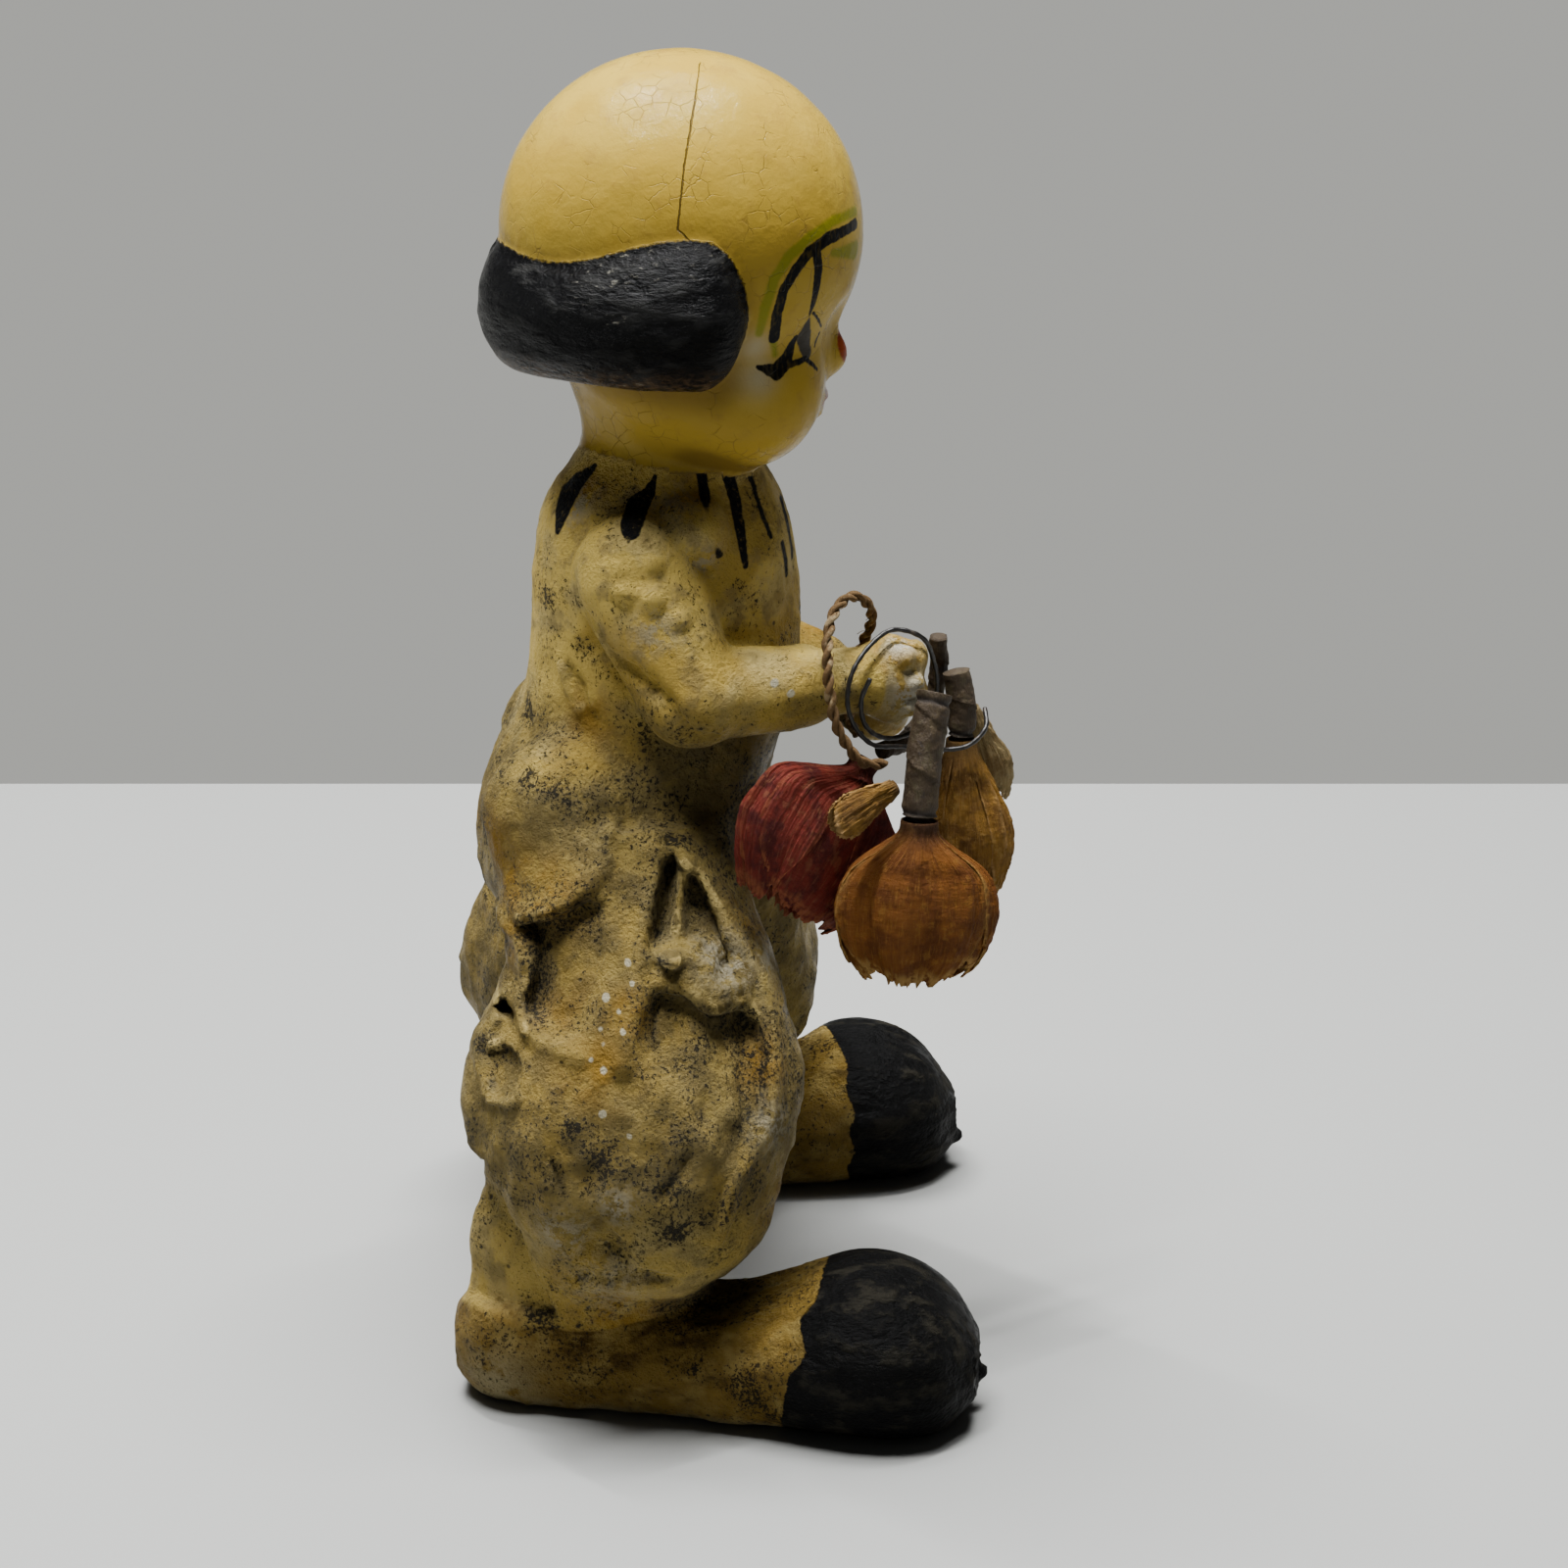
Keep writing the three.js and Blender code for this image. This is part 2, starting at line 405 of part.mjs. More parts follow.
// Thins a closed mesh to about the wanted triangles by folding up the edges that matter least.
// Each vertex carries the summed squared distance to its planes, ten numbers of a symmetric matrix.
function thinOut({ vertices, triangles }, wanted, weightAt) {
  const PLANE_TERMS = 10;
  const quadric = vertices.map(() => new Float64Array(PLANE_TERMS));
  const around = vertices.map(() => new Set());
  const alive = triangles.map(() => true);
  const normalOf = (ids) => {
    const [p, q, r] = ids.map((id) => vertices[id]);
    const u = [q[0] - p[0], q[1] - p[1], q[2] - p[2]];
    const w = [r[0] - p[0], r[1] - p[1], r[2] - p[2]];
    return [u[1] * w[2] - u[2] * w[1], u[2] * w[0] - u[0] * w[2], u[0] * w[1] - u[1] * w[0]];
  };
  triangles.forEach((ids, t) => {
    const n = normalOf(ids);
    const size = Math.max(length(...n), 1e-9);
    const [a, b, c] = n.map((v) => v / size);
    const p = vertices[ids[0]];
    const d = -(a * p[0] + b * p[1] + c * p[2]);
    const w = size * weightAt(...p);
    const terms = [a * a, a * b, a * c, a * d, b * b, b * c, b * d, c * c, c * d, d * d];
    for (const id of ids) {
      terms.forEach((v, k) => { quadric[id][k] += w * v; });
      around[id].add(t);
    }
  });
  const errorAt = (q, [x, y, z]) => q[0] * x * x + 2 * q[1] * x * y + 2 * q[2] * x * z + 2 * q[3] * x
    + q[4] * y * y + 2 * q[5] * y * z + 2 * q[6] * y + q[7] * z * z + 2 * q[8] * z + q[9];
  const bestPlace = (q, p, r) => {
    const [a, b, c, e, f, h] = [q[0], q[1], q[2], q[4], q[5], q[7]];
    const det = a * (e * h - f * f) - b * (b * h - f * c) + c * (b * f - e * c);
    const middle = p.map((v, k) => (v + r[k]) / 2);
    if (Math.abs(det) < 1e-4 * Math.pow(a + e + h, 3)) return middle;
    const [x, y, z] = [-q[3], -q[6], -q[8]];
    const solved = [
      (x * (e * h - f * f) - b * (y * h - f * z) + c * (y * f - e * z)) / det,
      (a * (y * h - z * f) - x * (b * h - f * c) + c * (b * z - y * c)) / det,
      (a * (e * z - y * f) - b * (b * z - y * c) + x * (b * f - e * c)) / det,
    ];
    const reach = length(...p.map((v, k) => v - r[k]));
    return length(...solved.map((v, k) => v - middle[k])) > 1.5 * reach ? middle : solved;
  };
  const version = new Uint32Array(vertices.length);
  const heap = [];
  const swap = (i, j) => { [heap[i], heap[j]] = [heap[j], heap[i]]; };
  const push = (item) => {
    heap.push(item);
    let i = heap.length - 1;
    while (i > 0 && heap[(i - 1) >> 1].cost > heap[i].cost) {
      swap(i, (i - 1) >> 1);
      i = (i - 1) >> 1;
    }
  };
  const pop = () => {
    const top = heap[0];
    const last = heap.pop();
    if (heap.length > 0) {
      heap[0] = last;
      for (let i = 0; ;) {
        const l = 2 * i + 1;
        let s = i;
        if (l < heap.length && heap[l].cost < heap[s].cost) s = l;
        if (l + 1 < heap.length && heap[l + 1].cost < heap[s].cost) s = l + 1;
        if (s === i) break;
        swap(i, s);
        i = s;
      }
    }
    return top;
  };
  const consider = (a, b) => {
    const q = quadric[a].map((v, k) => v + quadric[b][k]);
    const spot = bestPlace(q, vertices[a], vertices[b]);
    const spread = vertices[a].reduce((sum, v, k) => sum + (v - vertices[b][k]) ** 2, 0);
    push({ a, b, spot, cost: errorAt(q, spot) + 1e-3 * spread, mark: version[a] + version[b] });
  };
  const neighbours = (v) => {
    const found = new Set();
    for (const t of around[v]) for (const id of triangles[t]) if (id !== v) found.add(id);
    return found;
  };
  const flips = (v, other, spot) => {
    for (const t of around[v]) {
      if (triangles[t].includes(other)) continue;
      const before = normalOf(triangles[t]);
      const kept = vertices[v];
      vertices[v] = spot;
      const after = normalOf(triangles[t]);
      vertices[v] = kept;
      const dot = before.reduce((sum, n, k) => sum + n * after[k], 0);
      const size = length(...after);
      if (size < 1e-3 || dot < 0.3 * length(...before) * size) return true;
    }
    return false;
  };
  for (let v = 0; v < vertices.length; v += 1) {
    for (const n of neighbours(v)) if (n > v) consider(v, n);
  }
  let left = triangles.length;
  while (left > wanted && heap.length > 0) {
    const { a, b, spot, mark } = pop();
    if (around[a].size === 0 || around[b].size === 0 || mark !== version[a] + version[b]) continue;
    const [na, nb] = [neighbours(a), neighbours(b)];
    if (!na.has(b) || [...na].filter((n) => nb.has(n)).length !== 2) continue;
    if (flips(a, b, spot) || flips(b, a, spot)) continue;
    vertices[a] = spot;
    quadric[b].forEach((v, k) => { quadric[a][k] += v; });
    for (const t of [...around[b]]) {
      if (triangles[t].includes(a)) {
        alive[t] = false;
        left -= 1;
        for (const id of triangles[t]) around[id].delete(t);
      } else {
        triangles[t] = triangles[t].map((id) => (id === b ? a : id));
        around[a].add(t);
      }
    }
    around[b].clear();
    version[a] += 1;
    version[b] += 1;
    for (const n of neighbours(a)) consider(a, n);
  }
  return { vertices, triangles: triangles.filter((_, t) => alive[t]) };
}

function toGeometry({ vertices, triangles }) {
  const number = new Map();
  const places = [];
  const index = triangles.flat().map((id) => {
    if (!number.has(id)) {
      number.set(id, number.size);
      places.push(...vertices[id]);
    }
    return number.get(id);
  });
  const geometry = new THREE.BufferGeometry();
  geometry.setAttribute('position', new THREE.Float32BufferAttribute(places, 3));
  geometry.setIndex(index);
  geometry.computeVertexNormals();
  return geometry;
}

// A closed skin over rings of points, from one pole to the other.
function skin(first, rings, last) {
  const around = rings[0].length;
  const vertices = [first, ...rings.flat(), last];
  const end = vertices.length - 1;
  const at = (row, i) => 1 + row * around + (i % around);
  const triangles = [];
  for (let i = 0; i < around; i += 1) {
    triangles.push([0, at(0, i), at(0, i + 1)]);
    triangles.push([end, at(rings.length - 1, i + 1), at(rings.length - 1, i)]);
    for (let row = 0; row < rings.length - 1; row += 1) {
      triangles.push([at(row, i), at(row + 1, i), at(row + 1, i + 1)]);
      triangles.push([at(row, i), at(row + 1, i + 1), at(row, i + 1)]);
    }
  }
  return toGeometry({ vertices, triangles });
}

// A flower's half width as a share of its radius, at these places from its neck to its mouth.
const PROFILE_AT = [0.3, 0.5, 0.66, 0.84, 1];
const BELL = [0.68, 0.95, 1, 0.8, 0.52];
const SHAWL = [0.86, 1, 1, 0.82, 0.56];
const FAN = [0.55, 0.74, 0.86, 0.96, 0.92];

// A crepe paper flower that hangs from its gathered neck: crumpled petals packed into a bell, wide
// across and flat the other way, with a pleated outside, an uneven edge and a shallow open end.
function crepeBell({ neck, mouth, across, neckRadius, radius, flat, waves, turn, ragged, around, profile = BELL }) {
  const WALL = 1.4;
  const outerRows = [0, 0.07, 0.16, 0.28, 0.42, 0.58, 0.74, 0.88, 1];
  const innerRows = [1, 0.9];
  const from = new THREE.Vector3(...neck);
  const along = new THREE.Vector3(...mouth).sub(from);
  const span = along.length();
  along.normalize();
  const wide = new THREE.Vector3(...across);
  wide.addScaledVector(along, -wide.dot(along)).normalize();
  const thin = new THREE.Vector3().crossVectors(wide, along);
  const size = smoothRows([
    [0, neckRadius], [0.1, neckRadius * 1.2], ...PROFILE_AT.map((t, i) => [t, radius * profile[i]]),
  ]);
  const ring = (t, inset) => Array.from({ length: around }, (_, i) => {
    const angle = 2 * Math.PI * i / around;
    const lobe = 1 + t * (0.07 * Math.cos(waves * angle + turn) + 0.05 * Math.cos(3 * angle + 2 * turn));
    const fray = ragged * t * t * t * Math.sin((waves - 2) * angle + 3 * turn);
    const r = size(t)[1] * lobe - inset;
    const p = from.clone().addScaledVector(along, span * t + fray);
    p.addScaledVector(wide, r * Math.cos(angle));
    return p.addScaledVector(thin, r * mix(1, flat, smooth(clamp01(t * 3))) * Math.sin(angle)).toArray();
  });
  const rings = [...outerRows.map((t) => ring(t, 0)), ...innerRows.map((t) => ring(t, WALL))];
  return skin(neck, rings, from.clone().addScaledVector(along, span * 0.84).toArray());
}

// A rod along a smooth curve through some points, closed at both ends, its radius given along it.
function rod(points, radiusAt, around, steps) {
  const curve = new THREE.CatmullRomCurve3(points.map((p) => new THREE.Vector3(...p)));
  const frames = curve.computeFrenetFrames(steps, false);
  const rings = Array.from({ length: steps + 1 }, (_, s) => {
    const middle = curve.getPointAt(s / steps);
    return Array.from({ length: around }, (_unused, i) => {
      const angle = -2 * Math.PI * i / around;
      const r = radiusAt(s / steps, angle);
      const p = middle.clone().addScaledVector(frames.normals[s], r * Math.cos(angle));
      return p.addScaledVector(frames.binormals[s], r * Math.sin(angle)).toArray();
    });
  });
  return skin(curve.getPointAt(0).toArray(), rings, curve.getPointAt(1).toArray());
}

// Puts the pieces together.
const bunchOfFlowersAndClown = new THREE.Group();
function place(name, geometry, color, roughness) {
  const mesh = new THREE.Mesh(geometry, new THREE.MeshStandardMaterial({ color, roughness, metalness: 0 }));
  mesh.name = name;
  bunchOfFlowersAndClown.add(mesh);
}

const nearFace = (x, y, z) => (z > NECK_Z && z < 160 && y < -6 && Math.abs(x) < 14 ? FACE_WEIGHT : 1);
const sampled = standOnGround(settle(polygonise(clownDistance, SAMPLED_BOX, CELL), clownDistance));
const thinned = standOnGround(thinOut(sampled, FIGURE_TRIANGLES, nearFace));
place('papier_mache_clown', toGeometry(thinned), 0xc9ab62, 0.55);

// The bunch hangs upside down from the hands.
place('orange_flower', crepeBell({
  neck: [-27.6, -30.7, 89], mouth: [-30.5, -29.2, 64.6], across: [0.1, -1, 0], neckRadius: 2.8, radius: 10.5,
  flat: 0.5, waves: 7, turn: 0.4, ragged: 0.9, around: 24,
}), 0xb9791f, 0.85);
place('red_flower', crepeBell({
  neck: [-20, -22.8, 96], mouth: [-30.8, -10, 75.6], across: [0.75, -1, -0.4], neckRadius: 2.4,
  radius: 15.2, flat: 0.25, waves: 8, turn: 2.1, ragged: 0.9, around: 24, profile: SHAWL,
}), 0x7a1d14, 0.85);
place('ochre_flower', crepeBell({
  neck: [-13, -37.4, 97], mouth: [-14, -38.6, 70.6], across: [0, -1, 0], neckRadius: 2.3, radius: 6.6,
  flat: 0.7, waves: 5, turn: 1.2, ragged: 0.7, around: 18,
}), 0xa8812f, 0.85);
place('grey_flower', crepeBell({
  neck: [-9.2, -38.8, 100.6], mouth: [-6.4, -42.6, 84.6], across: [0, -1, -0.3], neckRadius: 1.5,
  radius: 3.8, flat: 0.5, waves: 4, turn: 0.3, ragged: 0.5, around: 12,
}), 0x8f8466, 0.9);
place('ribbed_leaf', crepeBell({
  neck: [-29.8, -26.8, 95], mouth: [-36.6, -17.6, 91.2], across: [0.1, -0.4, -1], neckRadius: 1.3,
  radius: 3.5, flat: 0.36, waves: 4, turn: 1.3, ragged: 0.4, around: 12, profile: FAN,
}), 0x9a7a3e, 0.9);
place('orange_stem', rod([[-22.8, -33, 107.4], [-24.2, -32.2, 103.6], [-26.2, -31.2, 96.6], [-27.4, -30.7, 89.7]],
  (t) => 2.75 - 0.25 * Math.cos(6 * t), 10, 6), 0x8a6a38, 0.9);
place('ochre_stem', rod([[-12.2, -36.6, 107.4], [-12.4, -37.2, 104], [-12.8, -37.6, 100.6], [-13, -37.4, 97.6]],
  (t) => 2.2 - 0.2 * Math.cos(7 * t), 10, 6), 0x8a7440, 0.9);
place('red_stem', rod([[-9.4, -33.9, 112], [-8.6, -34, 106], [-9, -32.6, 100.6], [-12.4, -29.2, 96.7],
  [-17.4, -25.2, 96.5]], () => 1.45, 8, 10), 0x8c6f45, 0.9);
place('black_wire', rod([
  [-22.8, -23.3, 109.6], [-23, -22, 106.3], [-22.8, -22.6, 102.4], [-20, -25.6, 99.4], [-16.6, -29.6, 99.1],
  [-14.2, -32.6, 101.4], [-13.8, -33.6, 105.5], [-14.5, -33, 109.8], [-16.4, -31.2, 114], [-17.6, -26.8, 115.6],
  [-20.4, -23.2, 113.9], [-23.3, -20.6, 110.6], [-24.4, -19.9, 106.6], [-24.2, -21, 102.6], [-22.6, -23.8, 99.2],
  [-20.4, -27.6, 98.2], [-18.8, -31.9, 97.6], [-17.2, -35.4, 96.6], [-16.6, -38.6, 97.2],
  [-15, -41, 99.4], [-11.8, -41, 101.4],
], () => 0.35, 6, 56), 0x15120f, 0.5);
place('twine_loop', rod([
  [-23.6, -25.6, 96.4], [-25.4, -22.2, 97.4], [-26.4, -19.8, 100.4], [-27.2, -18, 104.6], [-27, -17.2, 109.2],
  [-25.6, -16.9, 113.8], [-22.4, -17.3, 117.8], [-19, -18.9, 120.1], [-16, -21.2, 120.3],
  [-13.6, -23.3, 118], [-11.4, -23.6, 114.8], [-9.4, -22.4, 111], [-8.6, -21, 107], [-8.8, -20.2, 102.8],
  [-11.4, -20.6, 99.4], [-15.2, -21.8, 98.2],
], () => 0.85, 6, 48), 0x8b6f4d, 0.9);

export default bunchOfFlowersAndClown;
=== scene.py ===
import functools
import math

import bpy
import numpy as np
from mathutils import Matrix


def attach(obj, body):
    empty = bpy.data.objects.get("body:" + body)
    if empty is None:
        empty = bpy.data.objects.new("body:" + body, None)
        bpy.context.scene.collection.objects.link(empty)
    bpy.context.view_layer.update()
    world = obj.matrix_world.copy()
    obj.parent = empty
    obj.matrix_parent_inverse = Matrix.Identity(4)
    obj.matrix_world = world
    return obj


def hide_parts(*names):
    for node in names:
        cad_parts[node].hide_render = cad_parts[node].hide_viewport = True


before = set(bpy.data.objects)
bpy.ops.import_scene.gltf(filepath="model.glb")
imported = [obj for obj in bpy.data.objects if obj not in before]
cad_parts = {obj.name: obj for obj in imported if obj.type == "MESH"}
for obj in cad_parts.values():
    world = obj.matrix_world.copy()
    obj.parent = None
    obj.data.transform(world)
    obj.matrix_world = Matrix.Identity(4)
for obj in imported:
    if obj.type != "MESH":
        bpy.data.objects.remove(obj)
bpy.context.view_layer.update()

# Sizes are in millimetres until a mesh is made. The clown faces -Y and its right side is at -X.
RIGHT, LEFT = -1, 1
HEAD_Y = 4.8
CRANIUM_RADIUS = 26.4
CRANIUM_Z = 199.0 - CRANIUM_RADIUS
NECK_Z = 136.0
SHOULDER_X, SHOULDER_Z = 18.5, 124.0
HEEL, TOE = (36.4, 39.3), (46.6, -39.4)
SAMPLED_LOW, SAMPLED_HIGH = (-66.0, -46.0, -2.0), (66.0, 50.0, 202.0)
CELL = 1.0
BLOCK = 4


# Forms: each gives the distance to its surface, below zero inside, for many points at once.
def mix(a, b, t):
    return a + (b - a) * t


def smooth(t):
    t = np.clip(t, 0.0, 1.0)
    return t * t * (3.0 - 2.0 * t)


def ellipsoid(centre, radii):
    centre, radii = np.array(centre), np.array(radii)

    def form(p):
        d = p - centre
        near = np.linalg.norm(d / radii, axis=1)
        far = np.maximum(np.linalg.norm(d / radii**2, axis=1), 1e-9)
        return near * (near - 1.0) / far

    return form


def limb(a, b, radius_a, radius_b=None):
    """A straight rod whose radius changes from one end to the other."""
    a, b = np.array(a, float), np.array(b, float)
    radius_b = radius_a if radius_b is None else radius_b
    along = b - a

    def form(p):
        t = np.clip((p - a) @ along / (along @ along), 0.0, 1.0)
        return np.linalg.norm(p - a - t[:, None] * along, axis=1) - mix(radius_a, radius_b, t)

    return form


def smooth_rows(rows):
    """The rows' values at any place along them, on a smooth curve through every row."""
    rows = np.array(rows, float)
    before = rows[np.maximum(np.arange(len(rows)) - 1, 0)]
    after = rows[np.minimum(np.arange(len(rows)) + 1, len(rows) - 1)]
    slope = (after - before) / (after[:, :1] - before[:, :1])

    def at(where):
        i = np.clip(np.searchsorted(rows[:, 0], where, side="left") - 1, 0, len(rows) - 2)
        span = (rows[i + 1, 0] - rows[i, 0])[:, None]
        t = np.clip((where[:, None] - rows[i, :1]) / span, 0.0, 1.0)
        return (
            (2 * t**3 - 3 * t**2 + 1) * rows[i]
            + (t**3 - 2 * t**2 + t) * span * slope[i]
            + (3 * t**2 - 2 * t**3) * rows[i + 1]
            + (t**3 - t**2) * span * slope[i + 1]
        )

    return at


def garment(rows, square=2.4, pleat=0.0, pleats=6, turn=0.0):
    """Ovals stacked up Z, each row (z, centre x, centre y, half width, half depth)."""
    low, high = rows[0][0], rows[-1][0]
    row_at = smooth_rows(rows)

    def form(p):
        x, y, z = p.T
        level = np.clip(z, low, high)
        _, cx, cy, hx, hy = row_at(level).T
        dx, dy = (x - cx) / hx, (y - cy) / hy
        in_middle = np.sin(math.pi * (level - low) / (high - low))
        size = 1.0 + pleat * in_middle * np.cos(pleats * np.arctan2(dy, dx) + turn)
        around = (np.abs(dx) ** square + np.abs(dy) ** square) ** (1.0 / square)
        side = (around - size) * np.minimum(hx, hy)
        end = np.abs(z - level)
        inside = np.where(end > 0, np.maximum(side, end), side)
        return np.where(side > 0, np.hypot(side, end), inside)

    return form


def blend_min(a, b, reach):
    h = np.maximum(reach - np.abs(a - b), 0.0) / reach
    return np.minimum(a, b) - h * h * reach / 4.0


def add(form, reach):
    return form, reach, False


def cut(form, reach):
    return form, reach, True


def evaluate(steps, p):
    """The distance to all the steps, each added or cut away and blended over its own reach."""
    d = np.full(len(p), 1e3)
    for form, reach, is_cut in steps:
        f = form(p)
        d = -blend_min(-d, f, reach) if is_cut else blend_min(d, f, reach)
    return d


def head():
    steps = [
        add(ellipsoid((0, HEAD_Y, CRANIUM_Z), (25.8, CRANIUM_RADIUS + 0.8, CRANIUM_RADIUS)), 1.0),
        add(ellipsoid((0, 1.6, 151.4), (19.4, 18, 14.4)), 7.0),
        add(ellipsoid((0, -16.2, 153.8), (3.2, 3.8, 3.6)), 2.0),
        add(ellipsoid((0, -15.2, 147.4), (4.6, 2, 1.1)), 1.4),
        add(ellipsoid((0, -14.6, 145.2), (3.6, 2, 1.1)), 1.2),
        add(limb((0, 8.1, 147), (0, 7.2, NECK_Z - 3), 11.6, 13.4), 4.0),
    ]
    for side in (RIGHT, LEFT):
        steps.append(add(ellipsoid((side * 8.8, -5.4, 149), (9.6, 9.6, 9.6)), 5.0))
        steps.append(cut(ellipsoid((side * 7.4, -20.8, 158.4), (4.6, 3.4, 3.6)), 3.0))
    return steps


def hair_roll(p):
    """The thick roll of hair that wraps round the back of the head from ear to ear."""
    reach = math.radians(97)
    x, y, z = p.T
    turn = np.arctan2(x, y - HEAD_Y)
    on = np.clip(turn, -reach, reach)
    to_side = smooth(np.abs(on) / (0.5 * math.pi))
    wave = np.sin(4.4 * np.abs(on) + 1.2 + 0.5 * np.sign(on))
    path = mix(25.2, 23.4, to_side)
    thick = mix(5.2, 7.2, to_side)
    tall = mix(8.6, 10.6, to_side) + 0.7 * wave
    level = mix(161.9, 164.1, to_side) + 0.5 * wave
    radial = np.hypot(x, y - HEAD_Y)
    past = radial * np.sin(np.minimum(np.abs(turn - on), 0.5 * math.pi))
    across = (radial * np.cos(turn - on) - path) / thick
    return (np.sqrt(across**2 + ((z - level) / tall) ** 2 + (past / 7.0) ** 2) - 1.0) * thick


SMOCK_ROWS = [
    (66, 0, 16, 24, 15), (74, 0, 16.6, 28, 20), (82, 0, 15.6, 28.4, 21.4), (90, 0, 13.2, 26, 21.8),
    (100, 0, 9.2, 22.2, 20.6), (112, 0, 7.7, 21, 20.6), (122, 0, 7.7, 21.2, 20), (130, 0, 7.8, 19, 18.4),
    (136, 0, 7.4, 15, 15), (140, 0, 7.4, 12.4, 12.4),
]
LEG_ROWS = {
    RIGHT: [
        (19, -38.6, 13.6, 10, 11.4), (24, -38.8, 12.6, 15.6, 16.6), (29, -38.2, 11.8, 18.4, 19.6),
        (35, -37.4, 12, 20.6, 21.6), (43, -35.4, 12.4, 22.2, 23.9), (52, -32.4, 11.9, 22.8, 25),
        (60, -29.4, 11.4, 22.2, 22.2), (67, -26.4, 11.2, 21, 19.6), (76, -21.6, 13.2, 19, 18.6),
        (88, -15, 15, 17, 17),
    ],
    LEFT: [
        (19, 38.6, 15, 10, 14), (24, 38.8, 13.8, 15.6, 22), (29, 38.2, 13.4, 18.8, 26.6),
        (35, 37.6, 13.5, 21.2, 29.2), (43, 36, 13.6, 22.6, 29.6), (52, 33, 13.3, 23, 27.2),
        (60, 30, 12.8, 22.4, 23.8), (67, 27, 12.6, 21, 20.6), (76, 22, 14, 19, 19), (88, 15, 15, 17, 17),
    ],
}
SHOE_ROWS = [
    (0, 0, 8, 4, 5.2), (4, 0, 9, 8.4, 9), (12, 0, 9.6, 10, 10.4), (26, 0, 9.2, 10.8, 10),
    (40, 0, 8.2, 12, 9.2), (50, 0.4, 9.6, 13.6, 10.4), (60, 1, 11.6, 15.2, 12.4),
    (68, 1.2, 11.4, 14.8, 12.4), (75, 1, 10, 11.6, 10), (79.6, 0.4, 8.8, 5.6, 5),
]
HANDS = [
    add(ellipsoid((-15.2, -26.4, 107.2), (5.4, 5.2, 6.9)), 1.6),
    add(ellipsoid((-14.6, -30.2, 110.4), (3.6, 2, 2.6)), 0.8),
    add(ellipsoid((-14.6, -30.2, 105), (3.4, 2, 2.4)), 0.8),
    add(ellipsoid((10.5, -25.2, 95.2), (5.2, 5.2, 6)), 1.6),
]


def sleeves():
    right_elbow, left_elbow = (-26.2, 3.2, 108), (25, -5.5, 99.5)
    return [
        add(limb((-SHOULDER_X - 0.7, 11.5, SHOULDER_Z + 0.5), right_elbow, 9.1, 7.6), 1.8),
        add(limb(right_elbow, (-19.6, -12.9, 107.4), 6.9, 6.2), 1.5),
        add(limb((-19.2, -12, 107.4), (-16.2, -23, 107.4), 5), 0.8),
        add(limb((SHOULDER_X + 0.4, 8, SHOULDER_Z), left_elbow, 9, 8), 2.0),
        add(limb(left_elbow, (18.4, -15.6, 97.4), 7.6, 6.6), 1.5),
        add(limb((18, -15, 97), (12.6, -22, 95.6), 4.9), 0.8),
    ]


def along_foot(side, p):
    """Places seen along one splayed foot: off its middle line, up, and on from the back of the heel."""
    turn = math.atan2(side * (TOE[0] - HEEL[0]), HEEL[1] - TOE[1])
    dx, dy = p[:, 0] - side * HEEL[0], p[:, 1] - HEEL[1]
    off = side * (dx * math.cos(turn) + dy * math.sin(turn))
    on = dx * math.sin(turn) - dy * math.cos(turn)
    return np.stack([off, p[:, 2], on], axis=1)


def shoe(side):
    slab = garment(SHOE_ROWS, square=2.5)
    return lambda p: slab(along_foot(side, p))


def leg(side):
    return [
        add(garment(LEG_ROWS[side], square=2.3, pleat=0.03, pleats=7, turn=1.1 + 0.8 * side), 4.0),
        add(ellipsoid((side * 38, 17.5, 24), (12.8, 18.4, 15)), 2.0),
        add(limb((side * 37.6, 25.6, 33), (side * 37, 28.6, 11), 9, 10), 2.0),
    ]


HEAD = [*head(), add(hair_roll, 0.6)]
SUIT = [add(garment(SMOCK_ROWS), 2.0), *leg(RIGHT), *leg(LEFT), *sleeves()]
BASE = [
    *HEAD,
    add(garment(SMOCK_ROWS), 2.0),
    *leg(RIGHT), add(shoe(RIGHT), 2.0),
    *leg(LEFT), add(shoe(LEFT), 2.0),
    *sleeves()[:3], *HANDS[:3],
    *sleeves()[3:], *HANDS[3:],
]
HIP_LOBES = [add(ellipsoid((side * 19.4, 21.6, 87), (11.6, 13.2, 12.8)), 2.0) for side in (RIGHT, LEFT)]


# The deep stiffened folds of a trouser leg, drawn in (y, z) as they are seen square from the side.
HIP_RIM = [(29.1, 76.2), (25.4, 78), (21.9, 79.9), (18.9, 81.7), (16.8, 83.8), (16, 86.7), (15.6, 88.9)]
BACK_EDGE = [(31.7, 73.7), (29.6, 73.3), (28.4, 70.7), (28.3, 67.3), (29.5, 65), (28.2, 63.1)]
LEDGE = [(28.1, 62.1), (26.5, 61.9), (22.9, 61.4), (19.9, 60.7), (17.7, 60.6)]
LONG_FOLD = [
    (9.4, 86.6), (8.4, 85.1), (8.7, 82.6), (9.8, 79.8), (10.4, 76.6), (11.3, 73.5), (11.6, 69.9),
    (11.8, 67.1), (12.5, 63.5), (13.1, 59.8),
]
FRONT_FOLD = [
    (4.6, 85.5), (3.3, 84.5), (1.2, 81.8), (-1, 78.3), (-3.1, 74.9), (-5.3, 71.6), (-7.4, 68.1), (-8.6, 65.1),
    (-8.9, 61.8), (-9.6, 57.8), (-9.3, 52.6), (-8.6, 48.7), (-6.2, 45.4), (-3.6, 42.1), (-2.4, 38.1),
    (-0.7, 33.9),
]
